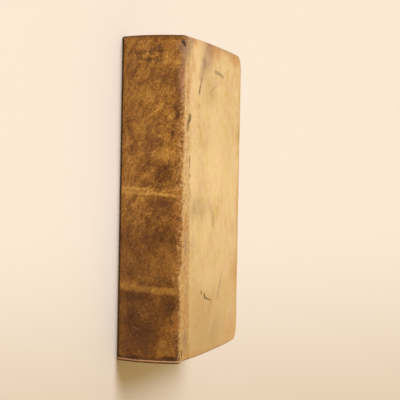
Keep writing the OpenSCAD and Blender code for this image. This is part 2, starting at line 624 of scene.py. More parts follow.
class Signal:
    """A value socket that grows Math nodes from Python expressions."""

    def __init__(self, graph: Graph, socket: Link) -> None:
        """Wrap one output socket of a graph."""
        self.graph = graph
        self.socket = socket

    def _math(self, operation: str, *values: Signal | float) -> Signal:
        """Add one Math node."""
        return self.graph.node("ShaderNodeMath", {"operation": operation}, *values).value(0)

    def __add__(self, other: Signal | float) -> Signal:
        """Add."""
        return self._math("ADD", self, other)

    def __radd__(self, other: float) -> Signal:
        """Add to a number."""
        return self._math("ADD", other, self)

    def __sub__(self, other: Signal | float) -> Signal:
        """Subtract."""
        return self._math("SUBTRACT", self, other)

    def __rsub__(self, other: float) -> Signal:
        """Subtract from a number."""
        return self._math("SUBTRACT", other, self)

    def __mul__(self, other: Signal | float) -> Signal:
        """Multiply."""
        return self._math("MULTIPLY", self, other)

    def __rmul__(self, other: float) -> Signal:
        """Multiply a number."""
        return self._math("MULTIPLY", other, self)

    def __truediv__(self, other: Signal | float) -> Signal:
        """Divide."""
        return self._math("DIVIDE", self, other)

    def __abs__(self) -> Signal:
        """Drop the sign."""
        return self._math("ABSOLUTE", self)

    def at_least(self, other: Signal | float) -> Signal:
        """Take the larger of two values."""
        return self._math("MAXIMUM", self, other)

    def at_most(self, other: Signal | float) -> Signal:
        """Take the smaller of two values."""
        return self._math("MINIMUM", self, other)

    def rise(self, low: float, high: float) -> Signal:
        """Rise smoothly from 0 at low to 1 at high."""
        settings = {"interpolation_type": "SMOOTHSTEP"}
        return self.graph.node("ShaderNodeMapRange", settings, self, low, high, 0.0, 1.0).value(0)

    def near(self, centre: Signal | float, half: float, soft: float) -> Signal:
        """Be 1 within half of a centre and fade to 0 over the soft margin outside it."""
        return 1.0 - abs(self - centre).rise(half, half + soft)


class Placed:
    """A node already set up, whose outputs are taken by name or number."""

    def __init__(self, graph: Graph, node: bpy.types.Node) -> None:
        """Wrap one node of a graph."""
        self.graph = graph
        self.node = node

    def value(self, outlet: int | str) -> Signal:
        """Take an output as a value."""
        return Signal(self.graph, self.node.outputs[outlet])

    def link(self, outlet: int | str) -> Link:
        """Take an output as it is, for colours, vectors and shaders."""
        return self.node.outputs[outlet]


class Graph:
    """The node tree of one material.

    Attributes:
        seed_spread: How far a seed shifts a noise on X, Y and Z.
        mix_inlets: Numbers of a Mix node's sockets for its share and its two colours.
        mix_outlet: Number of the Mix node's socket for the mixed colour.
    """

    seed_spread: Triple = (1.0, 1.7, 0.6)
    mix_inlets: tuple[int, int, int] = (0, 6, 7)
    mix_outlet: int = 2

    def __init__(self, name: str) -> None:
        """Start an empty material.

        Args:
            name: The material's name.
        """
        self.material = bpy.data.materials.new(name)
        self.material.use_nodes = True
        self.tree = self.material.node_tree
        self.tree.nodes.clear()

    def node(self, kind: str, settings: dict[str, Any] | None = None, *inlets: Any, **named: Any) -> Placed:
        """Add any node.

        Args:
            kind: The node's type.
            settings: Properties set before its sockets are filled; stops is a ramp's list of places
                and colours.
            inlets: Values or links for the sockets, in order; None leaves one alone.
            named: Values or links for sockets by name, with _ for each space.

        Returns:
            The node, ready to be read.
        """
        made = self.tree.nodes.new(kind)
        for key, setting in (settings or {}).items():
            if key == "stops":
                self._set_stops(made.color_ramp, setting)
            else:
                setattr(made, key, setting)
        sockets = list(zip(made.inputs, inlets))
        sockets += [(made.inputs[key.replace("_", " ")], given) for key, given in named.items()]
        for socket, given in sockets:
            self._fill(socket, given)
        return Placed(self, made)

    @staticmethod
    def _set_stops(ramp: bpy.types.ColorRamp, stops: Sequence[tuple[float, Colour]]) -> None:
        """Give a ramp its stops.

        Args:
            ramp: The ramp.
            stops: Place and colour of each stop.
        """
        while len(ramp.elements) < len(stops):
            ramp.elements.new(1.0)
        for element, (place, colour) in zip(ramp.elements, stops):
            element.position = place
            element.color = (*colour, 1.0)

    def _fill(self, socket: Link, given: Any) -> None:
        """Link or set one input socket.

        Args:
            socket: The socket.
            given: A value or link for it; None leaves it alone.
        """
        if given is None:
            return
        if isinstance(given, Signal):
            self.tree.links.new(given.socket, socket)
        elif isinstance(given, Link):
            self.tree.links.new(given, socket)
        elif socket.type == "RGBA":
            socket.default_value = (*given, 1.0)
        else:
            socket.default_value = given

    def place(self) -> Link:
        """Read where a point lies on the skin laid flat, in millimetres."""
        settings = {"attribute_name": PLACE, "attribute_type": "GEOMETRY"}
        return self.node("ShaderNodeAttribute", settings).link("Vector")

    def position(self) -> Link:
        """Read Object coordinates, in millimetres."""
        raw = self.node("ShaderNodeTexCoord").link("Object")
        return self.scaled(raw, (1 / MM, 1 / MM, 1 / MM))

    def scaled(self, vector: Link, factors: Triple) -> Link:
        """Multiply a vector part by part."""
        return self.node("ShaderNodeVectorMath", {"operation": "MULTIPLY"}, vector, factors).link(0)

    def moved(self, vector: Link, shift: Link | Triple) -> Link:
        """Add a vector to a vector."""
        return self.node("ShaderNodeVectorMath", {"operation": "ADD"}, vector, shift).link(0)

    def split(self, vector: Link) -> tuple[Signal, Signal, Signal]:
        """Take a vector apart."""
        parts = self.node("ShaderNodeSeparateXYZ", None, vector)
        return parts.value(0), parts.value(1), parts.value(2)

    def turned(self, vector: Link, angle: float, factors: Triple) -> Link:
        """Turn a vector about Z, then stretch what is drawn on it.

        Args:
            vector: The vector.
            angle: The turn in radians.
            factors: Factors on X, Y and Z; one under 1 draws a pattern out that way.

        Returns:
            The new vector.
        """
        settings = {"vector_type": "POINT"}
        turned = self.node("ShaderNodeMapping", settings, vector, None, (0.0, 0.0, angle)).link(0)
        return self.scaled(turned, factors)

    def noise(
        self, vector: Link, size: float, detail: float = 3.0, rough: float = 0.55, seed: float = 0.0
    ) -> Signal:
        """Read noise from 0 to 1.

        Args:
            vector: Where to read it.
            size: Size of its features, in the vector's units.
            detail: Number of finer layers.
            rough: How strong the finer layers are.
            seed: Number that makes one noise differ from another.

        Returns:
            The noise.
        """
        shift = tuple(seed * spread for spread in self.seed_spread)
        source = self.moved(vector, shift) if seed else vector
        fixed = {"Scale": 1.0 / size, "Detail": detail, "Roughness": rough}
        return self.node("ShaderNodeTexNoise", None, source, **fixed).value(0)

    def warped(self, vector: Link, size: float, reach: float, seed: float = 0.0) -> Link:
        """Shift a vector by noise, so that shapes drawn on it get ragged edges.

        Args:
            vector: The vector.
            size: Size of the noise's features, in the vector's units.
            reach: How far it shifts a point at most.
            seed: Number that makes one noise differ from another.

        Returns:
            The shifted vector.
        """
        source = self.moved(vector, (seed, seed, seed))
        drift = self.node("ShaderNodeTexNoise", None, source, Scale=1.0 / size, Detail=3.0).link("Color")
        centred = self.moved(drift, (-0.5, -0.5, -0.5))
        return self.moved(vector, self.scaled(centred, (2 * reach, 2 * reach, 2 * reach)))

    def stain(self, kind: str) -> Signal:
        """Read how strong a stain of the skin is."""
        settings = {"attribute_name": Stain(kind, ()).attribute, "attribute_type": "GEOMETRY"}
        return self.node("ShaderNodeAttribute", settings).value("Fac")

    def strokes(self, vector: Link, strokes: Iterable[Stroke]) -> Signal:
        """Draw narrow marks on the skin as one mask.

        Args:
            vector: Place on the skin laid flat.
            strokes: The marks.

        Returns:
            The mask, at most 1.
        """
        total: Signal | float = 0.0
        for mark in strokes:
            start, end = Vector(mark.start), Vector(mark.end)
            turn = Matrix.Rotation(-math.atan2(end.y - start.y, end.x - start.x), 2)
            shift, half = -(turn @ ((start + end) / 2)), (end - start).length / 2
            level = (0.0, 0.0, math.atan2(turn[1][0], turn[0][0]))
            settings = {"vector_type": "POINT"}
            laid = self.node("ShaderNodeMapping", settings, vector, (*shift, 0.0), level, (1.0, 1.0, 0.0))
            folded = self.node("ShaderNodeVectorMath", {"operation": "ABSOLUTE"}, laid.link(0)).link(0)
            past = self.moved(folded, (-half, 0.0, 0.0))
            past = self.node("ShaderNodeVectorMath", {"operation": "MAXIMUM"}, past, (0.0, 0.0, 0.0)).link(0)
            total = self._within(past, mark.core, mark.fade, mark.strength) + total
        return total.at_most(1.0)

    def _within(self, vector: Link, inner: float, outer: float, strength: float) -> Signal:
        """Fall from a strength to 0 as a vector grows longer.

        Args:
            vector: The vector.
            inner: Length up to which the strength is full.
            outer: Length from which it is 0.
            strength: The full strength.

        Returns:
            The strength at the vector's length.
        """
        length = self.node("ShaderNodeVectorMath", {"operation": "LENGTH"}, vector).value("Value")
        settings = {"interpolation_type": "SMOOTHSTEP"}
        return self.node("ShaderNodeMapRange", settings, length, inner, outer, strength, 0.0).value(0)

    def cells(self, vector: Link, size: float) -> Signal:
        """Read the distance to the nearest edge in a pattern of cells."""
        settings = {"feature": "DISTANCE_TO_EDGE"}
        return self.node("ShaderNodeTexVoronoi", settings, vector, Scale=1.0 / size).value("Distance")

    def mix(self, share: Signal | float, first: Link | Colour, second: Link | Colour) -> Link:
        """Mix two colours.

        Args:
            share: How much of the second shows, held between 0 and 1.
            first: The first colour.
            second: The second colour.

        Returns:
            The mixed colour.
        """
        mixer = self.node("ShaderNodeMix", {"data_type": "RGBA", "clamp_factor": True})
        for inlet, given in zip(self.mix_inlets, (share, first, second)):
            self._fill(mixer.node.inputs[inlet], given)
        return mixer.link(self.mix_outlet)

    def ramp(self, share: Signal, stops: Sequence[tuple[float, Colour]]) -> Link:
        """Turn a value into a colour."""
        return self.node("ShaderNodeValToRGB", {"stops": stops}, share).link("Color")

    def finish(
        self,
        colour: Link | Colour,
        rough: Signal | float,
        height: Signal | None = None,
        depth: float = 0.1,
        **fixed: float,
    ) -> Material:
        """End the tree in a shader.

        Args:
            colour: Base colour.
            rough: Roughness.
            height: Relief from 0 to 1, if the finish has any.
            depth: Depth of that relief in millimetres.
            fixed: Other sockets of the shader that stay the same all over.

        Returns:
            The finished material.
        """
        shader = self.node("ShaderNodeBsdfPrincipled", None, Base_Color=colour, Roughness=rough, **fixed)
        if height is not None:
            relief = self.node("ShaderNodeBump", None, Strength=1.0, Distance=depth * MM, Height=height)
            self.tree.links.new(relief.link("Normal"), shader.node.inputs["Normal"])
        self.node("ShaderNodeOutputMaterial", None, shader.link(0))
        return self.material


@dataclass(frozen=True)
class SkinFinish:
    """The worn covering skin: mottled brown over the spine, pale and clouded over the covers.

    Attributes:
        skin_width: Length of skin from joint line to joint line, in millimetres.
        half_height: Half the skin's height, head to tail.
        middle_lean: Lean of the worn line over the middle thong.
        middle_shift: How far that line lies from the middle, towards the head.
        tail_lean: Lean of the worn line over the tail thong.
        tail_shift: How far that line lies from the middle, towards the tail.
        strip_width: Width of the brown strip along the front joint.
        strip_lean: How much it widens for each millimetre towards the tail.
        relief: Depth of the skin's grain.
        spine_stops: The spine's browns from dark to light.
        stains: Soft patches by kind.
        marks: Dark marks.
        smears: Violet smears on the front cover.
        pale_arc: Pale strokes that make a faint arc on the front cover.
    """

    skin_width: float
    half_height: float = 85.0
    middle_lean: float = -0.052
    middle_shift: float = 3.6
    tail_lean: float = -0.071
    tail_shift: float = 48.3
    strip_width: float = 8.2
    strip_lean: float = 0.034
    relief: float = 0.35
    spine_stops: tuple[tuple[float, Colour], ...] = (
        (0.12, tone(56, 28, 8)),
        (0.30, tone(104, 64, 20)),
        (0.48, tone(150, 102, 44)),
        (0.64, tone(188, 136, 64)),
        (0.84, tone(230, 186, 108)),
    )
    umber: Colour = tone(74, 42, 15)
    plum: Colour = tone(106, 64, 35)
    gold: Colour = tone(178, 136, 60)
    rust: Colour = tone(158, 100, 44)
    worn: Colour = tone(226, 178, 116)
    # Colour of the painted highlight on the front ridge.
    pink: Colour = tone(206, 160, 128)
    ink: Colour = tone(58, 38, 26)
    # Colour of the painted shade under the back ridge.
    soot: Colour = tone(60, 36, 8)
    cover_light: Colour = tone(232, 206, 160)
    cover_tan: Colour = tone(214, 180, 127)
    cover_dull: Colour = tone(188, 157, 107)
    cream: Colour = tone(247, 218, 170)
    rose: Colour = tone(222, 182, 150)
    straw: Colour = tone(212, 184, 112)
    orange: Colour = tone(198, 144, 90)
    olive: Colour = tone(160, 142, 96)
    violet: Colour = tone(150, 116, 104)
    joint_tan: Colour = tone(172, 124, 56)
    stains: tuple[Stain, ...] = (
        Stain("dark", (
            Patch(-64.0, -14.3, 7.0, 10.0, 0.45), Patch(-50.0, -14.0, 4.0, 4.0, 0.6),
            Patch(-47.0, -2.8, 6.0, 2.4, 1.2), Patch(-43.5, -32.6, 3.6, 3.4, 0.6),
            Patch(-42.5, -12.9, 2.2, 2.0, 0.7), Patch(-34.5, -9.5, 1.6, 4.5, 0.6),
            Patch(-27.0, -33.0, 4.5, 4.0, 0.5), Patch(-16.0, -19.0, 3.0, 3.0, 0.6),
            Patch(-12.5, -10.7, 7.0, 6.5, 1.2), Patch(-8.0, -20.0, 3.0, 8.0, 0.5),
            Patch(2.0, -11.5, 5.0, 9.5, 1.3), Patch(5.0, -12.5, 4.5, 6.0, 0.8),
            Patch(25.0, -5.6, 5.0, 2.5, 0.5), Patch(46.5, -16.5, 2.6, 6.5, 0.6),
            Patch(11.5, -7.0, 6.0, 6.0, 0.9), Patch(20.0, -20.0, 7.0, 22.0, 0.35),
            Patch(31.0, -22.0, 6.0, 18.0, 0.35), Patch(51.5, -28.0, 4.0, 10.0, 0.8),
            Patch(54.5, -8.0, 5.5, 6.0, 0.8), Patch(62.0, -20.0, 9.0, 14.0, 0.4),
            Patch(75.0, -24.0, 9.0, 13.0, 0.5), Patch(76.0, -3.4, 8.0, 2.4, 0.5),
            # The next patch, at the tail beside the front ridge, is painted shade where the crease inside
            # the rolled tail widens.
            Patch(82.4, -6.5, 2.0, 5.0, 1.2),
        )),
        Stain("gold", (
            Patch(-54.0, -21.6, 4.0, 5.0, 0.9), Patch(-50.0, -27.5, 5.0, 4.0, 0.6),
            Patch(-35.5, -22.0, 6.0, 6.0, 0.8), Patch(-29.0, -10.0, 3.5, 4.0, 0.6),
            Patch(-42.0, -7.0, 3.0, 3.0, 0.8), Patch(-23.0, -11.7, 4.5, 5.0, 1.1),
            Patch(-20.5, -14.0, 3.0, 5.0, 0.5), Patch(-12.0, -31.0, 9.0, 6.0, 0.9),
            Patch(-48.0, -20.0, 16.0, 8.0, 0.3), Patch(-2.5, -29.0, 4.6, 8.0, 0.8),
            Patch(9.0, -28.0, 4.0, 4.0, 0.7), Patch(33.0, -23.0, 4.0, 13.0, 0.55),
            Patch(35.0, -6.0, 7.5, 6.0, 0.7), Patch(44.6, -31.0, 2.6, 7.0, 0.5),
            Patch(66.5, -4.0, 8.0, 2.5, 0.5), Patch(76.5, -9.5, 4.5, 5.0, 1.0),
        )),
        Stain("plum", (
            Patch(-57.0, -4.6, 12.0, 2.0, 1.1), Patch(-30.5, -18.7, 8.0, 5.0, 0.9),
            Patch(4.0, -13.0, 6.0, 9.0, 0.7), Patch(20.5, -18.0, 8.0, 15.0, 0.5),
            Patch(60.0, -22.0, 12.0, 14.0, 0.5), Patch(75.0, -24.0, 8.0, 12.0, 0.8),
            Patch(-64.0, -14.0, 7.0, 9.0, 0.6),
        )),
        Stain("rust", (
            Patch(-79.0, -10.0, 2.6, 5.0, 1.0), Patch(-66.0, -2.6, 16.0, 1.6, 0.7),
            Patch(-34.0, -4.0, 10.0, 2.2, 0.8), Patch(8.0, -3.6, 20.0, 2.6, 0.7),
            Patch(62.0, -4.0, 7.0, 2.0, 0.7), Patch(20.0, -32.5, 24.0, 1.4, 0.6),
        )),
        Stain("smudge", (
            Patch(-76.5, -20.2, 2.4, 13.0, 1.0), Patch(-71.8, -19.7, 1.8, 11.5, 0.9),
            Patch(68.8, -19.7, 2.0, 8.0, 0.8),
        )),
        Stain("cream", (
            Patch(-70.0, 12.0, 12.0, 5.0, 0.7), Patch(-15.5, 45.0, 17.0, 20.0, 0.9),
            Patch(44.0, 36.0, 8.0, 17.0, 1.3), Patch(-14.0, 78.0, 22.0, 17.0, 0.9),
            Patch(42.0, 60.0, 9.0, 14.0, 0.7), Patch(-61.0, 48.0, 6.0, 10.0, 0.6),
            Patch(-28.0, 12.0, 24.0, 4.0, 0.4), Patch(28.0, 28.0, 9.0, 12.0, 0.4),
        )),
        Stain("orange", (
            Patch(-82.0, 10.4, 4.0, 3.4, 1.1), Patch(-57.5, 4.4, 8.0, 1.9, 1.0),
            Patch(-81.0, 42.0, 5.0, 14.0, 1.0), Patch(-81.0, 82.0, 4.0, 14.0, 1.0),
            Patch(-4.0, 97.0, 20.0, 6.0, 0.4), Patch(43.0, 92.0, 12.0, 9.0, 0.8),
            Patch(77.0, 82.0, 7.0, 15.0, 0.65), Patch(13.5, 3.4, 6.5, 2.8, 1.2),
            Patch(38.0, 3.4, 3.4, 2.6, 0.9), Patch(59.0, 3.6, 6.0, 2.8, 1.0),
            Patch(83.0, 16.0, 2.0, 10.0, 0.9), Patch(60.0, 41.0, 2.4, 4.0, 0.6),
            Patch(62.0, 23.0, 9.0, 12.0, 0.2), Patch(-74.0, 9.0, 9.0, 2.0, 0.5),
        )),
        Stain("olive", (
            Patch(5.5, 19.0, 6.5, 12.0, 1.2), Patch(5.0, 9.5, 12.0, 6.0, 0.5),
            Patch(25.0, 10.0, 8.0, 9.0, 0.45), Patch(2.5, 35.5, 4.0, 3.6, 0.8),
            Patch(7.5, 40.0, 4.0, 3.2, 1.0), Patch(12.5, 43.0, 4.5, 3.0, 1.9),
            Patch(37.5, 44.0, 3.0, 8.0, 0.4), Patch(-60.0, 38.0, 8.0, 18.0, 0.5),
            Patch(-58.0, 36.8, 2.6, 6.0, 0.4), Patch(73.5, 51.6, 9.0, 18.0, 0.8),
            Patch(-22.0, 74.0, 22.0, 9.0, 0.4), Patch(-37.5, 98.0, 4.5, 4.5, 0.8),
        )),
        Stain("violet", (
            Patch(-81.0, 2.6, 6.0, 7.0, 1.6), Patch(-75.0, 0.0, 6.0, 2.6, 0.7),
            Patch(-84.5, 60.0, 2.2, 30.0, 0.5), Patch(-62.0, -2.6, 14.0, 1.5, 0.8),
            Patch(23.5, 3.8, 6.0, 2.2, 1.1), Patch(51.0, 5.0, 8.0, 2.2, 0.5),
            Patch(73.0, 4.5, 8.0, 2.4, 1.1), Patch(36.0, 3.0, 6.0, 1.2, 0.5),
        )),
        Stain("wrinkled", (
            Patch(-33.5, 19.0, 12.0, 12.0, 1.0), Patch(-11.5, 25.0, 9.0, 10.0, 1.0),
            Patch(38.0, 18.0, 14.0, 12.0, 0.8), Patch(-62.0, 38.0, 9.0, 12.0, 0.6),
            Patch(64.0, 30.0, 10.0, 14.0, 1.0),
        )),
        # Not a stain: this patch places a painted highlight, a pale mauve sheen on the front ridge near the
        # head.
        Stain("lilac", (Patch(-57.0, -1.6, 13.0, 2.6),)),
        Stain("scuffed", (
            Patch(-5.0, 1.0, 9.0, 6.5, 1.0), Patch(-30.0, -2.0, 7.0, 3.5, 0.7),
            Patch(24.0, -1.0, 9.0, 4.0, 0.6), Patch(58.0, 1.0, 24.0, 3.6, 0.4),
            Patch(-79.0, -2.0, 4.0, 5.0, 0.5),
        )),
    )
    marks: tuple[Stroke, ...] = (
        Stroke((-43.4, 6.0), (-41.8, 5.4), 1.1, 0.72), Stroke((-40.0, 4.4), (-36.6, 3.4), 1.0, 0.55),
        Stroke((-22.8, 6.8), (-16.3, 6.9), 0.3, 0.62), Stroke((-4.5, 7.6), (-1.0, 8.4), 0.3, 0.5),
        Stroke((-12.7, 7.0), (-12.0, 7.2), 0.4, 0.5), Stroke((-59.8, 17.9), (-56.4, 16.9), 0.6, 0.85),
        Stroke((-50.4, 17.2), (-48.9, 17.4), 0.4, 0.5), Stroke((-70.4, 43.0), (-70.2, 46.6), 0.9, 0.42),
        Stroke((-70.0, 47.8), (-69.9, 51.4), 0.8, 0.38), Stroke((-69.6, 52.8), (-68.8, 57.4), 0.8, 0.4),
        Stroke((50.2, 25.4), (51.4, 26.2), 0.5, 0.8), Stroke((52.2, 30.4), (54.0, 31.6), 0.6, 0.95),
        Stroke((54.4, 33.0), (55.2, 36.0), 0.42, 0.7), Stroke((55.4, 37.4), (56.4, 42.0), 0.38, 0.55),
        Stroke((-39.5, 96.0), (-37.0, 96.2), 0.7, 0.4), Stroke((-84.8, -4.8), (-82.4, -3.1), 0.24, 0.45),
        Stroke((-81.6, -2.3), (-79.6, -0.6), 0.66, 1.0), Stroke((79.2, 1.0), (81.4, 1.2), 0.45, 1.0),
        Stroke((80.6, -0.9), (84.6, -1.6), 0.22, 0.7), Stroke((38.2, -36.0), (39.6, -18.0), 0.26, 0.3),
        Stroke((39.6, -18.0), (44.0, -6.0), 0.3, 0.4),
    )
    smears: tuple[Stroke, ...] = (
        Stroke((-85.0, 33.0), (-79.0, 31.5), 6.5, 0.3), Stroke((-78.5, 30.0), (-73.5, 26.0), 5.2, 0.3),
        Stroke((-73.0, 23.6), (-64.5, 20.2), 2.4, 0.4), Stroke((-63.5, 19.8), (-59.8, 18.2), 0.8, 0.6),
        Stroke((-62.5, 43.4), (-57.5, 32.7), 0.6, 0.3), Stroke((43.5, 61.5), (56.0, 54.5), 1.4, 0.3),
    )
    pale_arc: tuple[Stroke, ...] = (
        Stroke((26.0, 72.0), (40.0, 65.0), 3.5, 0.5), Stroke((57.0, 50.0), (71.0, 42.0), 2.6, 0.6),
        Stroke((-70.0, 74.0), (-44.0, 70.0), 4.0, 0.4),
    )

    def build(self) -> Material:
        """Make the material.

        Returns:
            The skin's material.
        """
        g = Graph("worn_skin")
        place = g.place()
        ragged = g.warped(place, 4.0, 1.4, 3.0)
        _, plain_across, _ = g.split(place)
        middle = plain_across + self.skin_width / 2
        outwards = abs(middle) - self.skin_width / 2
        front = (middle * 10.0).at_least(0.0).at_most(1.0)
        spine = self._spine(g, place, ragged)
        cover = self._cover(g, place, ragged, outwards)
        edge = self._torn_edge(g, place, outwards, front)
        colour = self._scuffs(g, place, edge, g.mix(edge.rise(-0.8, 0.8), spine, cover))
        colour = self._ends(g, ragged, outwards, colour)
        rough = 0.66 - g.noise(place, 9.0, 3.0, 0.6, 5.0) * 0.2
        height = g.noise(place, 1.3, 4.0, 0.8, 4.0) * 0.5 + g.noise(place, 4.5, 4.0, 0.7, 2.0) * 0.5
        return g.finish(colour, rough, height, self.relief, Specular_IOR_Level=0.25)

    @staticmethod
    def _torn_edge(g: Graph, place: Link, outwards: Signal, front: Signal) -> Signal:
        """Tear the edge between the brown spine and the pale covers.

        Args:
            g: The skin's graph.
            place: Place on the flat skin.
            outwards: Distance past the nearer joint line.
            front: 1 on the front half of the skin, 0 on the back half.

        Returns:
            Distance past the torn edge, negative on the spine.
        """
        torn = (g.noise(place, 16.0, 6.0, 0.72, 9.0) - 0.5) * 5.0
        torn = torn + (g.noise(place, 4.0, 2.0, 0.6, 35.0) - 0.5) * 3.5
        torn = torn + (g.noise(place, 1.5, 4.0, 0.8, 8.0) - 0.5) * 6.0
        edge = outwards + torn + 1.9 - (1.0 - front) * 3.2
        edge = edge - (1.0 - g.split(place)[0].rise(-83.0, -75.0)) * 1.2
        return edge - (1.0 - g.split(place)[0].rise(15.0, 45.0)) * 1.3

    def _scuffs(self, g: Graph, place: Link, edge: Signal, colour: Link) -> Link:
        """Speckle the torn edge, then add the violet stains and the dark marks.

        Args:
            g: The skin's graph.
            place: Place on the flat skin.
            edge: Distance past the torn edge.
            colour: The skin's colour so far.

        Returns:
            The colour with the scuffs and marks.
        """
        specks = g.noise(g.warped(place, 3.0, 1.2, 37.0), 1.7, 3.0, 0.75, 36.0)
        near_edge = edge.near(0.0, 1.5, 4.5) * (g.stain("scuffed") * 0.75 + 0.35)
        near_edge = near_edge * (1.0 - g.split(place)[0].rise(10.0, 60.0) * 0.45)
        colour = g.mix((specks - 0.525).rise(0.0, 0.10) * near_edge, colour, self.worn)
        colour = g.mix((0.455 - specks).rise(0.0, 0.12) * near_edge, colour, self.umber)
        purple = g.stain("violet") * (g.noise(place, 1.6, 4.0, 0.8, 34.0) * 2.2 - 0.45).at_least(0.0)
        colour = g.mix(purple.at_most(1.0) * 0.75, colour, self.violet)
        marks = g.strokes(g.warped(place, 1.2, 0.35, 5.0), self.marks)
        return g.mix(marks, colour, self.ink)

    def _spine(self, g: Graph, place: Link, ragged: Link) -> Link:
        """Make the mottled brown of the spine.

        Args:
            g: The skin's graph.
            place: Place on the flat skin.
            ragged: The same place, shifted by noise.

        Returns:
            The spine's colour.
        """
        along, across, _ = g.split(ragged)
        swirl = g.warped(place, 9.0, 2.6, 21.0)
        slant = g.turned(swirl, 0.55, (0.5, 1.0, 1.0))
        clouds = g.noise(place, 20.0, 4.0, 0.6, 1.0)
        blotches = g.noise(swirl, 8.0, 6.0, 0.68, 25.0)
        strokes = g.noise(slant, 2.8, 4.0, 0.7, 2.0)
        flecks = g.noise(place, 1.1, 4.0, 0.8, 4.0)
        lively = (1.0 - along.rise(8.0, 30.0) * 0.55) * (g.noise(place, 14.0, 2.0, 0.5, 6.0) * 1.6 + 0.2)
        past_middle = along + across * self.middle_lean + self.middle_shift
        past_tail = along + across * self.tail_lean - self.tail_shift
        pale_line = past_middle.near(0.0, 0.35, 1.0) * (1.0 - across.rise(-24.0, -15.0) * 0.85)
        pale_line = pale_line + past_middle.near(2.1, 0.4, 1.0) * (0.8 - across.rise(-14.0, -8.0) * 0.2)
        pale_line = pale_line * (blotches * 2.6 - 0.3).at_least(0.0)
        bands = pale_line * 1.2 + past_tail.near(0.0, 0.7, 1.9) * blotches * 1.8
        golden, plums = g.stain("gold") * 0.8 + bands, g.stain("plum")
        level = clouds * 0.4 + blotches * 0.62 + (strokes - 0.5) * 0.7 * lively + flecks * 0.9 - 0.46
        level = (level - 0.48) * (1.0 - along.rise(5.0, 25.0) * 0.3) + 0.48
        level = level + golden * 0.13 + pale_line * 0.22 - g.stain("dark") * 0.14
        level = level - along.rise(2.0, 24.0) * 0.10 - past_tail.rise(1.2, 3.0) * 0.04
        # Painted light: lighter towards the back ridge, offsetting the shade where the round spine turns
        # away from the lamp.
        level = level + (0.0 - across).rise(26.0, 36.0) * 0.06
        colour = g.ramp(level, self.spine_stops)
        broken = g.noise(slant, 2.2, 5.0, 0.8, 7.0)
        hue = g.noise(swirl, 6.0, 5.0, 0.7, 26.0)
        to_plum = (plums * 0.5 + hue - 0.6 + (broken - 0.5) * 0.8).rise(0.0, 0.35)
        to_gold = (golden * 0.4 + (1.0 - hue) - 0.62 + (broken - 0.5) * 0.8).rise(0.0, 0.35)
        rusty = g.stain("rust") * 0.4 + across.near(-0.5, 1.6, 3.0) * 0.12 + broken
        to_rust = (rusty - 0.62).rise(0.0, 0.2)
        colour = g.mix(to_plum * 0.6, colour, self.plum)
        colour = g.mix(to_gold * 0.5, colour, self.gold)
        colour = g.mix(to_rust * 0.55, colour, self.rust)
        # Painted highlight: pale mauve flecks of sheen along the front ridge near the head.
        lilac = (g.stain("lilac") * 0.6 + broken * 1.8 - 1.15).rise(0.0, 0.6)
        colour = g.mix(lilac * 0.75, colour, self.pink)
        scratches = g.noise(g.turned(swirl, 1.15, (0.05, 1.0, 1.0)), 0.7, 2.0, 0.6, 27.0).rise(0.64, 0.74)
        crossing = g.noise(g.turned(swirl, 1.85, (0.05, 1.0, 1.0)), 0.6, 2.0, 0.6, 30.0).rise(0.65, 0.74)
        colour = g.mix((scratches + crossing) * 0.24, colour, self.worn)
        ridge = across.near(-1.6, 1.8, 3.6) * (0.37 - along.rise(-10.0, 40.0) * 0.08)
        rubbed = (ridge + g.noise(ragged, 1.4, 5.0, 0.85, 23.0) + clouds * 0.3 - 1.02).rise(0.0, 0.16)
        colour = g.mix(rubbed * 0.7, colour, self.worn)
        return self._spine_dirt(g, place, slant, colour)

    def _spine_dirt(self, g: Graph, place: Link, slant: Link, colour: Link) -> Link:
        """Add faded smudges and cracks to the spine, and painted shade along the underside of its back
        ridge.

        Args:
            g: The skin's graph.
            place: Place on the flat skin.
            slant: The same place, drawn out in leaning swirls.
            colour: The spine's colour so far.

        Returns:
            The colour with the dirt and the painted shade.
        """
        faded = (g.stain("smudge") + g.noise(place, 1.5, 2.0, 0.5, 28.0) * 2.4 - 1.6).rise(0.0, 0.5)
        colour = g.mix(faded * 0.5, colour, self.ink)
        cracks = (0.10 - g.cells(slant, 1.9)).rise(0.0, 0.10)
        colour = g.mix(cracks * 0.2, colour, self.umber)
        # Painted shade: near-black brown over the back ridge's underside, where it meets the floor.
        painted_back_ridge_shade = (0.0 - g.split(place)[1]).rise(35.4, 36.6)
        return g.mix(painted_back_ridge_shade * 0.88, colour, self.soot)

    def _cover(self, g: Graph, place: Link, ragged: Link, out: Signal) -> Link:
        """Make the pale skin of the covers.

        Args:
            g: The skin's graph.
            place: Place on the flat skin.
            ragged: The same place, shifted by noise.
            out: Distance past the nearer joint line.

        Returns:
            The covers' colour.
        """
        along, _, _ = g.split(ragged)
        flow = g.warped(place, 20.0, 10.0, 31.0)
        slant = g.turned(flow, -0.4, (0.6, 1.0, 1.0))
        clouds = g.noise(flow, 24.0, 5.0, 0.6, 12.0)
        mottle = g.noise(slant, 7.0, 6.0, 0.72, 11.0)
        fine = g.noise(slant, 1.6, 4.0, 0.8, 17.0)
        grain = g.noise(place, 0.6, 2.0, 0.7, 13.0)
        level = clouds * 1.0 + mottle * 1.1 + fine * 0.7 + grain * 0.2 - 0.57
        level = level + g.stain("cream") * 0.18
        colour = g.mix(level.rise(0.62, 1.12), self.cover_tan, self.cover_light)
        hue = g.noise(flow, 9.0, 5.0, 0.7, 32.0)
        colour = g.mix((hue - 0.5).at_least(0.0) * 3.6, colour, self.rose)
        colour = g.mix((0.5 - hue).at_least(0.0) * 3.6, colour, self.straw)
        colour = g.mix(g.stain("cream") * (0.1 + mottle * 0.6), colour, self.cream)
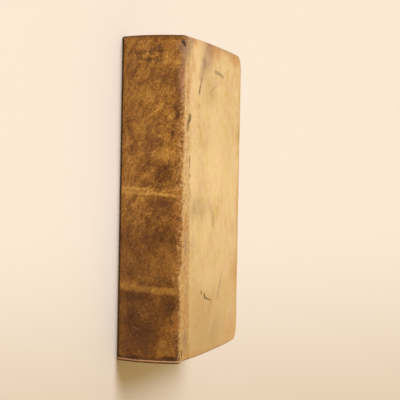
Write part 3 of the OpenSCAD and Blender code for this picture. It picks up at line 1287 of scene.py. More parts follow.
        # Painted shade: the covers grow duller towards the tail, as if the light fell off there, broken by
        # the mottle and weaker near the fore edge.
        painted_tail_shade = along.rise(0.0, 95.0) * (0.5 + mottle * 0.8) * (1.0 - out.rise(35.0, 80.0) * 0.45)
        colour = g.mix(painted_tail_shade, colour, self.cover_dull)
        soiled = g.noise(slant, 4.0, 5.0, 0.75, 33.0)
        green = g.noise(flow, 15.0, 4.0, 0.6, 14.0).rise(0.56, 0.72) * 0.3
        green = (green + g.stain("olive")) * (soiled * 1.6 - 0.3).at_least(0.0)
        colour = g.mix(green * 0.65, colour, self.olive)
        rim = out.rise(90.0, 101.5) * (0.28 + along.rise(-10.0, 40.0) * 0.2)
        rim = rim + (1.0 - along.rise(-85.0, -79.0)) * out.rise(8.0, 40.0) * 0.6
        rim = rim + along.rise(80.0, 85.0) * out.rise(10.0, 50.0) * 0.6
        stain = (rim * 0.8 + g.stain("orange")) * (soiled * 1.6 - 0.1).at_least(0.0)
        colour = g.mix(stain.at_most(1.0) * 0.9, colour, self.orange)
        wrinkle = g.noise(g.turned(ragged, 0.3, (0.28, 1.0, 1.0)), 1.1, 2.0, 0.6, 18.0).rise(0.53, 0.72)
        spread = g.stain("wrinkled") + g.noise(place, 12.0, 3.0, 0.6, 19.0) * 1.6
        wrinkle = wrinkle * (spread - 0.75).rise(0.0, 0.6)
        colour = g.mix(wrinkle * 0.34, colour, self.violet)
        board_line = along * self.strip_lean + self.strip_width + (mottle - 0.5) * 5.0
        strip = 1.0 - out.rise(board_line - 1.4, board_line)
        threads = g.noise(g.scaled(place, (0.4, 1.0, 1.0)), 1.1, 4.0, 0.85, 22.0)
        flecked = threads * 7.0 + fine * 3.0 - 4.55 + along.rise(-40.0, 40.0) * 0.3
        flecked = flecked.at_least(0.0).at_most(1.0)
        colour = g.mix(strip * flecked * 0.7, colour, self.joint_tan)
        colour = g.mix(strip * (0.46 - threads).rise(0.0, 0.14) * 0.3, colour, self.cream)
        # Painted highlight: a thin broken pale line along the board's edge, just past the brown strip.
        line = (out - board_line).near(0.5, 0.1, 0.5) * along.rise(-10.0, 12.0) * (mottle * 3.0 - 1.0)
        colour = g.mix(line * 0.3, colour, self.cream)
        purple = g.strokes(g.warped(place, 9.0, 1.6, 41.0), self.smears)
        # Violet smears, and a darker line along the covers' folded edges; at the tail edge that line is
        # painted shade where the fold turns under.
        past_edge = out.rise(99.8, 101.6)
        before_end = self.half_height - 0.2 - abs(along)
        edges = past_edge + (1.0 - before_end.rise(0.0, 1.4)) * (1.0 - out.rise(100.0, 103.0))
        violet = (purple * 1.2 + edges * 0.42) * (soiled * 1.8 - 0.1)
        colour = g.mix(violet, colour, self.violet)
        colour = g.mix(g.strokes(ragged, self.pale_arc) * 0.5, colour, self.rose)
        pores = g.noise(place, 0.9, 2.0, 0.8, 20.0).rise(0.66, 0.78)
        return g.mix(pores * 0.18, colour, self.joint_tan)

    def _ends(self, g: Graph, ragged: Link, outwards: Signal, colour: Link) -> Link:
        """Paint shade into the crease in the spine's rolled tail, under it and along the covers' tail edges;
        paint a highlight on its rim and darken the head's outer edge.

        Args:
            g: The skin's graph.
            ragged: Place on the skin laid flat, shifted by noise.
            outwards: Distance past the nearer joint line.
            colour: The skin's colour so far.

        Returns:
            The colour with its ends.
        """
        along, _, _ = g.split(g.mix(0.7, ragged, g.place()))
        spine = 1.0 - outwards.rise(-1.5, 1.5)
        from_end = self.half_height - abs(along)
        tail = along.rise(-1.0, 1.0)
        # Painted shade in the crease inside the tail's roll.
        crease = from_end.near(2.0, 0.15, 0.6) * spine * tail * 0.75
        # Painted highlight on the rim of the tail's roll.
        rim = from_end.near(1.15, 0.12, 0.35) * spine * tail * 0.62
        # Darker at the very ends: painted shade under the tail's roll and along the covers' tail edges, and
        # dirt on the head's rolled edge.
        reach = 1.4 - tail * 0.65
        under = (1.0 - from_end.rise(reach - 0.7, reach)) * (spine * 0.7 + tail * (1.0 - spine) * 0.4)
        colour = g.mix(rim, colour, self.rose)
        colour = g.mix(crease, colour, self.umber)
        return g.mix(under, colour, self.umber)


@dataclass(frozen=True)
class PaperFinish:
    """Aged laid paper, foxed and clouded.

    Attributes:
        name: Name of the material.
        light: The paper's lighter colour.
        dark: Its darker colour.
        layered: Whether it shows the edges of leaves and gatherings.
        stored: Whether the pattern follows the sheet's own attribute.
        dust: Colour of the darker lines between the leaves and gatherings.
        fox: Colour of the foxing.
        relief: Depth of its fibres.
    """

    name: str
    light: Colour
    dark: Colour
    layered: bool = False
    stored: bool = False
    dust: Colour = tone(122, 92, 58)
    fox: Colour = tone(150, 100, 56)
    relief: float = 0.12

    def build(self) -> Material:
        """Make the material.

        Returns:
            The paper's material.
        """
        g = Graph(self.name)
        place = g.place() if self.stored else g.position()
        clouds = g.noise(place, 24.0, 5.0, 0.6, 2.0)
        fibres = g.noise(g.scaled(place, (0.25, 1.0, 1.0)), 0.7, 3.0, 0.6, 3.0)
        colour = g.mix((clouds * 0.9 + fibres * 0.25 - 0.1).rise(0.25, 0.8), self.dark, self.light)
        foxing = g.noise(place, 6.0, 2.0, 0.5, 7.0).rise(0.66, 0.76)
        colour = g.mix(foxing * 0.35, colour, self.fox)
        height = fibres
        if self.layered:
            leaves = g.noise(g.scaled(place, (0.02, 0.02, 1.0)), 0.22, 3.0, 0.7, 5.0)
            gatherings = g.noise(g.scaled(place, (0.01, 0.01, 1.0)), 2.4, 2.0, 0.6, 6.0)
            gaps = (leaves * 0.7 + gatherings * 0.5).rise(0.42, 0.66)
            # Darker in lines between the leaves and gatherings.
            colour = g.mix(gaps * 0.6 + 0.4, self.dust, colour)
            height = leaves
        return g.finish(colour, 0.88, height, self.relief, Specular_IOR_Level=0.2)


@dataclass(frozen=True)
class FibreFinish:
    """Thread, thong or board: one colour broken by fibres.

    Attributes:
        name: Name of the material.
        light: Its lighter colour.
        dark: Its darker colour.
        size: Size of a fibre in millimetres.
        depth: Depth of its relief in millimetres.
    """

    name: str
    light: Colour
    dark: Colour
    size: float = 1.2
    depth: float = 0.15

    def build(self) -> Material:
        """Make the material.

        Returns:
            The fibres' material.
        """
        g = Graph(self.name)
        place = g.position()
        fibres = g.noise(place, self.size, 5.0, 0.7, 1.0)
        clouds = g.noise(place, self.size * 8.0, 3.0, 0.6, 2.0)
        colour = g.mix((fibres * 0.6 + clouds * 0.5).rise(0.35, 0.75), self.dark, self.light)
        return g.finish(colour, 0.85, fibres, self.depth, Specular_IOR_Level=0.2)


@dataclass
class SkinSheet:
    """One half of the covering skin, cut flat and folded over spine, joint and board.

    Attributes:
        form: The form of the book.
        side: Which half.
        thickness: Thickness of the sheet.
        edge_radius: Radius of the fold over a board's edge.
        fold_length: Length of skin in the fold over an edge.
        inner_reach: Length of skin turned in past the fold.
        mitre_overlap: How much skin is cut away at a fore corner past the mitre.
        cap_groove: Depth of the crease inside the spine's rolled ends.
        joint_groove: Depth of the groove along the joint.
        groove_place: Distance of that groove from the joint line.
        groove_lean: How much it leaves the joint for each millimetre towards the tail.
        thong_height: How far a thong raises the spine.
        thong_share: Half that rise's width, as a share of the thong's.
        back_press: How far the back cover's relief is pressed flat.
        face_spacing: Spacing of the grid's lines on the covers.
        border_width: Width of the border with finer lines.
        border_spacing: Spacing of the lines there.
        fold_spacing: Spacing of the lines over the fold.
        inner_spacing: Spacing of the lines on the turned-in skin.
        joint_spacing: Spacing of the lines over the joint.
        spine_spacing: Spacing of the lines over the spine.
        dents: Lumps and slits on the front half.
    """

    form: BookForm
    side: Side
    thickness: float = 0.45
    edge_radius: float = 0.9
    fold_length: float = 3.8
    inner_reach: float = 13.0
    mitre_overlap: float = 1.6
    cap_groove: float = 0.35
    joint_groove: float = 0.22
    groove_place: float = 6.3
    groove_lean: float = 0.034
    thong_height: float = 0.22
    thong_share: float = 0.55
    back_press: float = 0.16
    face_spacing: float = 1.2
    border_width: float = 6.0
    border_spacing: float = 0.4
    fold_spacing: float = 0.38
    inner_spacing: float = 1.3
    joint_spacing: float = 0.5
    spine_spacing: float = 0.8
    dents: tuple[Dent, ...] = (
        Dent(-83.4, -1.8, 1.5, 1.6, 0.45),
        Dent(-80.3, -0.6, 0.45, 1.6, -0.5, 1.1),
        Dent(80.0, 1.2, 0.8, 0.7, -0.5),
    )

    def build(self, material: Material, stains: Iterable[Stain]) -> Piece:
        """Model the sheet and give it its thickness.

        Args:
            material: The skin's finish.
            stains: The stains that the finish reads.

        Returns:
            The finished piece.
        """
        along, across = self._along_lines(), self._across_lines()
        sheet = Modeller.grid(f"{self.side.value}_skin", len(along) - 1, len(across) - 1)
        flat = [self._flat(vertex.co, along, across) for vertex in sheet.data.vertices]
        for vertex, (x, p) in zip(sheet.data.vertices, flat):
            vertex.co = self._folded(x, p) * MM
        laid = [Vector((x, self._across_skin(p), 0.0)) for x, p in flat]
        Modeller.store(sheet, PLACE, "FLOAT_VECTOR", laid)
        ragged = [self._ragged(spot) for spot in laid]
        for stain in stains:
            strengths = [stain.strength(spot.x, spot.y) for spot in ragged]
            Modeller.store(sheet, stain.attribute, "FLOAT", strengths)
        Modeller.delete_faces(sheet, self._offcuts(sheet, flat))
        if self.side is Side.BACK:
            Modeller.flip(sheet)
        Modeller.thicken(sheet, self.thickness)
        Modeller.finish(sheet, material)
        return sheet

    def _offcuts(self, sheet: Piece, flat: Sequence[tuple[float, float]]) -> list[int]:
        """List the faces that the mitres cut away at the fore corners.

        Args:
            sheet: The sheet.
            flat: Flat place of each of its vertices.

        Returns:
            The faces' numbers.
        """
        doomed = []
        for face in sheet.data.polygons:
            x, p = (sum(flat[v][axis] for v in face.vertices) / len(face.vertices) for axis in (0, 1))
            if self._cut_away(x, p):
                doomed.append(face.index)
        return doomed

    @staticmethod
    def _ragged(spot: Vector) -> Vector:
        """Shift a flat place by noise, so that the stains drawn there get uneven edges.

        Args:
            spot: The flat place.

        Returns:
            The shifted place.
        """
        coarse = noise.noise_vector(spot / 11.0) * 3.2
        fine = noise.noise_vector(spot / 3.6 + Vector((9.0, 2.0, 5.0))) * 1.6
        return Vector((spot.x + (coarse + fine).x, spot.y + (coarse + fine).y, 0.0))

    @property
    def first(self) -> float:
        """Where the sheet starts: both halves meet where the back ridge leaves the spine."""
        reach = self.form.ridge_length
        return -(reach + self.form.spine_length) if self.side is Side.FRONT else -reach

    @property
    def end_line(self) -> float:
        """Flat distance from the middle at which the skin starts to fold over head and tail."""
        return self.form.half_height - self.edge_radius

    @property
    def fore_line(self) -> float:
        """Flat distance from the joint line at which the skin starts to fold over the fore edge."""
        return self.form.cover_width - self.edge_radius

    def _edge_stretches(self, near: float) -> tuple[tuple[float, float], ...]:
        """List the stretches of grid lines from a cover's face to its turned-in edge.

        Args:
            near: Where the skin starts to fold.

        Returns:
            For each stretch, where it ends and its spacing.
        """
        far = near + self.fold_length
        return (
            (near - self.border_width, self.face_spacing),
            (near, self.border_spacing),
            (far, self.fold_spacing),
            (far + self.inner_reach, self.inner_spacing),
        )

    def _along_lines(self) -> list[float]:
        """List the grid's lines from head to tail."""
        half = graded(0.0, *self._edge_stretches(self.end_line))
        return [-x for x in reversed(half[1:])] + half

    def _across_lines(self) -> list[float]:
        """List the grid's lines from the seam to the turned-in end."""
        spine = [(-4.0, self.spine_spacing)] if self.side is Side.FRONT else []
        return graded(self.first, *spine, (9.0, self.joint_spacing), *self._edge_stretches(self.fore_line))

    def _across_skin(self, p: float) -> float:
        """Turn a distance from this half's joint line into one from the front joint line."""
        return p if self.side is Side.FRONT else -self.form.skin_width - p

    @staticmethod
    def _flat(spot: Vector, along: Sequence[float], across: Sequence[float]) -> tuple[float, float]:
        """Look up a grid vertex's place on the skin laid flat.

        Args:
            spot: The vertex's place on the grid, from -1 to 1 both ways.
            along: The grid's lines from head to tail.
            across: The grid's lines from the seam to the turned-in end.

        Returns:
            The place along and across the skin.
        """
        column = round((spot.x + 1) / 2 * (len(along) - 1))
        row = round((spot.y + 1) / 2 * (len(across) - 1))
        return along[column], across[row]

    def _overrun(self, x: float, p: float) -> tuple[float, float, float]:
        """Find how far a flat place lies past the fold line.

        Args:
            x: Flat distance from the middle, towards the tail.
            p: Flat distance from the joint line, towards the fore edge.

        Returns:
            The distance past the line, and the outward direction along and across.
        """
        radius = self.form.corner_radius
        sign = 1.0 if x >= 0 else -1.0
        dx = abs(x) - (self.form.half_height - radius)
        dy = p - (self.form.cover_width - radius)
        if dx > 0 and dy > 0:
            away = math.hypot(dx, dy)
            return away - (radius - self.edge_radius), sign * dx / away, dy / away
        if dx - radius > dy - radius:
            return abs(x) - self.end_line, sign, 0.0
        return p - self.fore_line, 0.0, 1.0

    def _cut_away(self, x: float, p: float) -> bool:
        """Tell whether the binder's mitre cuts a flat place away at a fore corner.

        Args:
            x: Flat distance from the middle, towards the tail.
            p: Flat distance from the joint line, towards the fore edge.

        Returns:
            Whether the place is cut away.
        """
        radius = self.form.corner_radius
        over_x = abs(x) - self.end_line - self.fold_length
        over_y = p - self.fore_line - self.fold_length
        dx = abs(x) - (self.form.half_height - radius)
        dy = p - (self.form.cover_width - radius)
        if dx > 0 and dy > 0:
            past_fold = math.hypot(dx, dy) - (radius - self.edge_radius)
            return past_fold > self.fold_length + radius - self.mitre_overlap
        if over_x > 0:
            return over_x > self.form.cover_width - p
        return over_y > self.form.half_height - abs(x)

    def _fold(self, over: float, cover: float) -> tuple[float, float]:
        """Follow the fold over an edge.

        Args:
            over: Distance past the fold line, along the skin.
            cover: 1 over the board's edge, 0 over the spine's rolled end.

        Returns:
            How far outwards from the fold line, and how deep under the outer face.
        """
        form, radius = self.form, self.edge_radius
        quarter = radius * math.pi / 2
        straight = form.turn_in_depth - 2 * radius
        walk = min(over, self.fold_length) / self.fold_length * (2 * quarter + straight)
        if walk < quarter:
            out, depth = radius * math.sin(walk / radius), radius * (1 - math.cos(walk / radius))
        elif walk < quarter + straight:
            out, depth = radius, radius + walk - quarter
        else:
            turn = (walk - quarter - straight) / radius
            out, depth = radius * math.cos(turn), form.turn_in_depth - radius * (1 - math.sin(turn))
        roll = min(over, self.fold_length) / self.fold_length * math.pi
        cap_out = form.cap_radius * math.sin(roll)
        cap_depth = form.cap_radius * (1 - math.cos(roll)) - form.cap_proud
        inward = max(0.0, over - self.fold_length)
        share = 1.0 - cover
        return out * cover + cap_out * share - inward, depth * cover + cap_depth * share

    def _cover_share(self, p: float) -> float:
        """Blend from the spine's rolled ends to the board's edges over the joint."""
        return smooth(p, -2.0, 3.5)

    def _folded(self, x: float, p: float) -> Vector:
        """Fold a flat place of the skin onto the book.

        Args:
            x: Flat distance from the middle, towards the tail.
            p: Flat distance from the joint line, towards the fore edge.

        Returns:
            The place in millimetres.
        """
        form = self.form
        over, out_x, out_p = self._overrun(x, p)
        cover = self._cover_share(p)
        depth, shift = 0.0, 0.0
        if over > 0:
            shift, depth = self._fold(over, cover)
        flat_x, flat_p = x - out_x * max(over, 0.0), p - out_p * max(over, 0.0)
        centre, outward = form.section(self.side, flat_p + out_p * shift)
        if flat_p > 0:
            outward = outward.lerp(Vector((0.0, 0.0, 1.0 if self.side is Side.FRONT else -1.0)), cover)
        end = form.tail if flat_x >= 0 else form.head
        overhang = (form.spine_tail - form.tail) * (1 - cover) if flat_x >= 0 else 0.0
        scale = (end + overhang - form.middle_x - math.copysign(self.edge_radius, flat_x)) / self.end_line
        place = centre + Vector((form.middle_x + abs(flat_x) * scale, 0.0, 0.0))
        place.x += out_x * shift
        if over <= 0:
            depth = self._end_relief(-over, cover)
        lifted = self._relief(flat_x, flat_p) * smooth(-over, -3.0, 1.0)
        return place - outward * (depth - lifted)

    def _end_relief(self, before: float, cover: float) -> float:
        """Shape the crease and the swell just inside the spine's rolled ends.

        Args:
            before: Distance to the fold line.
            cover: 1 over the covers, 0 over the spine.

        Returns:
            The depth in millimetres.
        """
        swell = self.form.cap_proud * bump(before, 0.0, 0.9)
        crease = self.cap_groove * bump(before, 1.5, 0.5)
        return (crease - swell) * (1 - cover)

    def _relief(self, x: float, p: float) -> float:
        """Raise the worn surface over the plain form.

        Args:
            x: Flat distance from the middle, towards the tail.
            p: Flat distance from the joint line, towards the fore edge.

        Returns:
            The height in millimetres.
        """
        form = self.form
        height = 0.10 * wave(x, p, 24.0, 1.0) + 0.06 * wave(x, p, 7.0, 2.0)
        spine = 1.0 - smooth(p, -2.5, 0.5)
        for thong in form.thongs:
            ridge = bump(x - form.middle_x, thong, form.thong_width * self.thong_share)
            height += self.thong_height * spine * ridge
        height -= self.joint_groove * bump(p, self.groove_place + self.groove_lean * x, 1.3)
        if self.side is Side.BACK:
            return min(0.0, height - self.back_press) * smooth(p, -2.0, 2.0)
        return height + self._front_creases(x, p)

    def _front_creases(self, x: float, p: float) -> float:
        """Add the fold, the lump and the slits of the front half.

        Args:
            x: Flat distance from the middle, towards the tail.
            p: Flat distance from the joint line, towards the fore edge.

        Returns:
            The height in millimetres.
        """
        past = x + 70.0
        fold = 21.0 + past * -0.42 + 0.006 * past**2
        height = 0.28 * bump(p, fold, 1.3) * smooth(-x, 52.0, 60.0)
        for dent in self.dents:
            height += dent.at(x, p)
        return height


@dataclass
class Leaves:
    """The block of leaves, with gatherings that stand a little uneven at the edges.

    Attributes:
        form: The form of the book.
        cuts: Number of cuts across each face of the block.
        hollow: Depth of the hollow along the fore edge.
        uneven: How far the gatherings and leaves stand uneven.
        back_share: Share of the spine's arc that the leaves' backs fill.
    """

    form: BookForm
    cuts: int = 88
    hollow: float = 1.2
    uneven: float = 0.22
    back_share: float = 0.98

    def build(self, edges: Material, flyleaf: Material) -> Piece:
        """Model the block.

        Args:
            edges: The finish of the leaves' edges.
            flyleaf: The finish of the outermost leaves' faces.

        Returns:
            The finished piece.
        """
        block = Modeller.block("leaves", self.cuts)
        flat = [abs(face.normal.z) > 0.5 for face in block.data.polygons]
        Modeller.shape(block, self._leaf_place)
        Modeller.finish(block, edges, 40.0)
        block.data.materials.append(flyleaf)
        for face, is_flat in zip(block.data.polygons, flat):
            face.material_index = int(is_flat)
        return block

    def _leaf_place(self, cube: Vector) -> Vector:
        """Put a point of the unit block on the leaves.

        Args:
            cube: The point, from -1 to 1 every way.

        Returns:
            Its place in millimetres.
        """
        form = self.form
        low = form.cover_depth + form.leaf_play
        fore = form.fore - form.square
        layer = (cube.z + 1) / 2
        reach = (cube.y + 1) / 2
        ragged = self.uneven * (0.6 * noise.noise(Vector((0.0, 4.0, layer * 53.0))) - 0.3)
        ragged += self.uneven * 0.5 * noise.noise(Vector((cube.x * 2.0, cube.y * 2.0, layer * 31.0)))
        angle = form.spine_half_angle * (2 * layer - 1) * self.back_share
        back = form.spine_axis_y - (form.spine_radius - form.block_inset) * math.cos(angle)
        edge = fore - self.hollow * (1 - (2 * layer - 1) ** 2) + ragged * smooth(reach, 0.9, 1.0)
        y = back + (edge - back) * reach
        top = form.thickness - low + form.lift(Side.FRONT, y - form.hinge_y)
        shoulder = smooth(y, form.hinge_y - 2.0, form.hinge_y + 0.4)
        z = low + (top - low) * layer
        spine_z = form.thickness / 2 + (form.spine_radius - form.block_inset) * math.sin(angle)
        z = spine_z + (z - spine_z) * shoulder
        half = form.half_height - form.square + ragged
        return Vector((form.middle_x + cube.x * half, y, z))


@dataclass
class Pastedown:
    """Paper over a board's inner face, carried across the joint onto the leaves.

    Attributes:
        form: The form of the book.
        side: Which cover.
        margin: Gap between the paper and the cover's edges.
        thickness: Thickness of the sheet.
        spacing: Spacing of the grid's lines.
        fold_rows: Number of rows of the grid in the joint's fold.
        fold_start: Distance from the joint line at which the paper meets the board.
        fold_dip: How far the fold reaches back towards the joint line.
        off_leaves: Depth of the fold's start, short of the leaves.
        off_board: Depth of the fold's end under the cover.
        skin_step: How much deeper the paper lies over turned-in skin than over board.
        slip_step: How much deeper it lies over a thong's end.
        fold_wave: Height of its unevenness.
    """

    form: BookForm
    side: Side
    margin: float = 3.5
    thickness: float = 0.12
    spacing: float = 1.3
    fold_rows: int = 10
    fold_start: float = 2.2
    fold_dip: float = 1.8
    off_leaves: float = 0.02
    off_board: float = 0.06
    skin_step: float = 0.35
    slip_step: float = 0.18
    fold_wave: float = 0.03

    def build(self, material: Material) -> Piece:
        """Model the sheet.

        Args:
            material: The finish of the paper.

        Returns:
            The finished piece.
        """
        form = self.form
        rows = [float(row - self.fold_rows) for row in range(self.fold_rows)]
        rows += graded(self.fold_start, (form.cover_width - self.margin, self.spacing))
        half = form.half_height - self.margin
        columns = graded(-half, (half, self.spacing))
        sheet = Modeller.grid(f"{self.side.value}_endpaper", len(columns) - 1, len(rows) - 1)
        laid = []
        for vertex in sheet.data.vertices:
            x = columns[round((vertex.co.x + 1) / 2 * (len(columns) - 1))]
            row = rows[round((vertex.co.y + 1) / 2 * (len(rows) - 1))]
            laid.append((x, row, 0.0))
            vertex.co = self._paper_place(x, row) * MM
        Modeller.store(sheet, PLACE, "FLOAT_VECTOR", laid)
        if self.side is Side.FRONT:
            Modeller.flip(sheet)
        Modeller.thicken(sheet, self.thickness)
        Modeller.finish(sheet, material)
        return sheet

    def _paper_place(self, x: float, row: float) -> Vector:
        """Place a point of the paper.

        Args:
            x: Distance from the middle, towards the tail.
            row: Distance from the joint line, or under 0 the number of a row of the fold.

        Returns:
            The place in millimetres.
        """
        form = self.form
        if row < 0:
            turn = (row + self.fold_rows) / self.fold_rows
            y = form.hinge_y + self.fold_start - self.fold_dip * math.sin(turn * math.pi)
            depth = form.cover_depth + form.leaf_play - self.off_leaves
            depth -= (form.leaf_play - self.off_board) * turn
            return self._under(x, y - form.hinge_y, depth)
        return self._under(x, row, self._bedding(x, row))

    def _under(self, x: float, across: float, depth: float) -> Vector:
        """Place a point at a depth under a cover's outer face.

        Args:
            x: Distance from the middle, towards the tail.
            across: Distance from the joint line.
            depth: The depth.

        Returns:
            The place in millimetres.
        """
        form = self.form
        height = form.thickness + form.lift(self.side, across) - depth
        z = height if self.side is Side.FRONT else form.thickness - height
        return Vector((form.middle_x + x, form.hinge_y + across, z))

    def _bedding(self, x: float, row: float) -> float:
        """Bed the paper on turned-in skin, board and thong ends.

        Args:
            x: Distance from the middle, towards the tail.
            row: Distance from the joint line.

        Returns:
            Its depth under the cover's outer face.
        """
        form = self.form
        window = form.turn_in + form.leather
        edge = min(form.half_height - abs(x), form.cover_width - row) - window
        over_skin = 1.0 - smooth(edge + 0.4 * wave(x, row, 9.0, 4.0), -0.6, 0.8)
        depth = form.cover_depth - self.skin_step * (1.0 - over_skin)
        for thong in form.thongs:
            slip = 1.0 - smooth(abs(x + form.middle_x - thong), 2.4, 3.8)
            beside = 1.0 - smooth(row, form.slip_length - 2.0, form.slip_length + 1.0)
            depth += self.slip_step * slip * beside * (1 - over_skin)
        return depth + self.fold_wave * wave(x, row, 12.0, 6.0)


@dataclass
class Endband:
    """A core wrapped in thread across one end of the leaves.

    Attributes:
        form: The form of the book.
        end: Which end.
        radius: Radius over the thread.
        wraps: Number of turns of thread.
        sides: Number of faces round the core.
        rings_per_wrap: Number of faces along each turn.
        groove: Depth of the groove between two turns, as a share of the radius.
        clearance: Gap between the thread and the leaves' backs.
        shortening: How much less of the spine's arc it fills than its node, in radians.
        end_power: How blunt its ends are.
    """

    form: BookForm
    end: End
    radius: float = 1.15
    wraps: int = 38
    sides: int = 16
    rings_per_wrap: int = 6
    groove: float = 0.14
    clearance: float = 0.05
    shortening: float = 0.004
    end_power: int = 30

    def build(self, material: Material) -> Piece:
        """Model the wrapped core.

        Args:
            material: The finish of the thread.

        Returns:
            The finished piece.
        """
        name = f"{self.end.name.lower()}_wrapped_band"
        band = Modeller.rod(name, self.sides, self.wraps * self.rings_per_wrap)
        low, high = (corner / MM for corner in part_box(f"{self.end.name.lower()}_endband"))
        Modeller.shape(band, lambda rod: self._core_place(rod, low, high))
        Modeller.merge(band)
        Modeller.finish(band, material, THREAD_ANGLE)
        return band

    def _core_place(self, rod: Vector, low: Vector, high: Vector) -> Vector:
        """Bend the unit rod along the spine, swelling at each turn of thread.

        Args:
            rod: A point of the rod.
            low: Lowest corner of the band's node.
            high: Highest corner of the band's node.

        Returns:
            The point's place in millimetres.
        """
        form = self.form
        reach = form.spine_radius - form.block_inset - self.radius - self.clearance
        half = math.asin((high.z - low.z) / 2 / (reach + self.radius)) - self.shortening
        angle = half * (2 * rod.z - 1)
        turn = abs(math.sin(rod.z * math.pi * self.wraps))
        swell = self.radius * (1 - self.groove + self.groove * turn)
        taper = math.sqrt(max(0.0, 1 - (2 * rod.z - 1) ** self.end_power))
        distance = reach + rod.x * swell * taper
        x = (low.x + high.x) / 2 + rod.y * swell * taper
        y = form.spine_axis_y - distance * math.cos(angle)
        return Vector((x, y, form.thickness / 2 + distance * math.sin(angle)))


@dataclass
class Lace:
    """The twisted end of an endband's core, laid over the joint and dipped into its slit.

    Attributes:
        side: Which cover it is laced into.
        end: Which end of the book it lies at.
        sides: Number of faces round it.
        rings: Number of faces along it.
        twist: Turn of its strands from end to end, in radians.
        groove: Depth of the groove between its strands, as a share of its radius.
        sway: How far it strays sideways.
    """

    side: Side
    end: End
    sides: int = 12
    rings: int = 28
    twist: float = 9.0
    groove: float = 0.14
    sway: float = 0.2

    def build(self, material: Material) -> Piece:
        """Model the lace inside the box of its node.

        Args:
            material: The finish of the core.

        Returns:
            The finished piece.
        """
        name = f"{self.side.value}_{self.end.name.lower()}_twisted_lace"
        lace = Modeller.rod(name, self.sides, self.rings)
        low, high = (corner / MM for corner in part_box(self.node))
        Modeller.shape(lace, lambda rod: self._twisted(rod, low, high))
        Modeller.finish(lace, material, THREAD_ANGLE)
        return lace

    @property
    def node(self) -> str:
        """Name of the node that the lace stands for."""
        return f"{self.side.value}_{self.end.name.lower()}_lace"

    def _twisted(self, rod: Vector, low: Vector, high: Vector) -> Vector:
        """Bend and twist the unit rod inside a box.

        Args:
            rod: A point of the rod.
            low: Lowest corner of the lace's node.
            high: Highest corner of the lace's node.

        Returns:
            The point's place in millimetres.
        """
        outwards = rod.z if self.end is End.TAIL else 1 - rod.z
        dip = (1.0 - smooth(outwards, 0.0, 0.35)) * 0.45 + 0.25 * smooth(outwards, 0.88, 1.0)
        angle = math.atan2(rod.y, rod.x)
        turn = angle + rod.z * self.twist
        size = math.hypot(rod.x, rod.y) * (1 - self.groove + self.groove * math.cos(2 * angle))
        size *= 0.75 + 0.25 * smooth(min(rod.z, 1 - rod.z), 0.0, 0.12)
        wide, deep = (high.y - low.y) / 2, (high.z - low.z) / 2
        x = low.x + (high.x - low.x) * rod.z
        y = (low.y + high.y) / 2 + wide * size * math.cos(turn) + self.sway * math.sin(rod.z * 5.0)
        y = min(high.y, max(low.y, y))
        face = high.z if self.side is Side.FRONT else low.z
        inwards = -1.0 if self.side is Side.FRONT else 1.0
        z = face + inwards * (deep + dip) + deep * size * math.sin(turn)
        return Vector((x, y, min(high.z, max(low.z, z))))


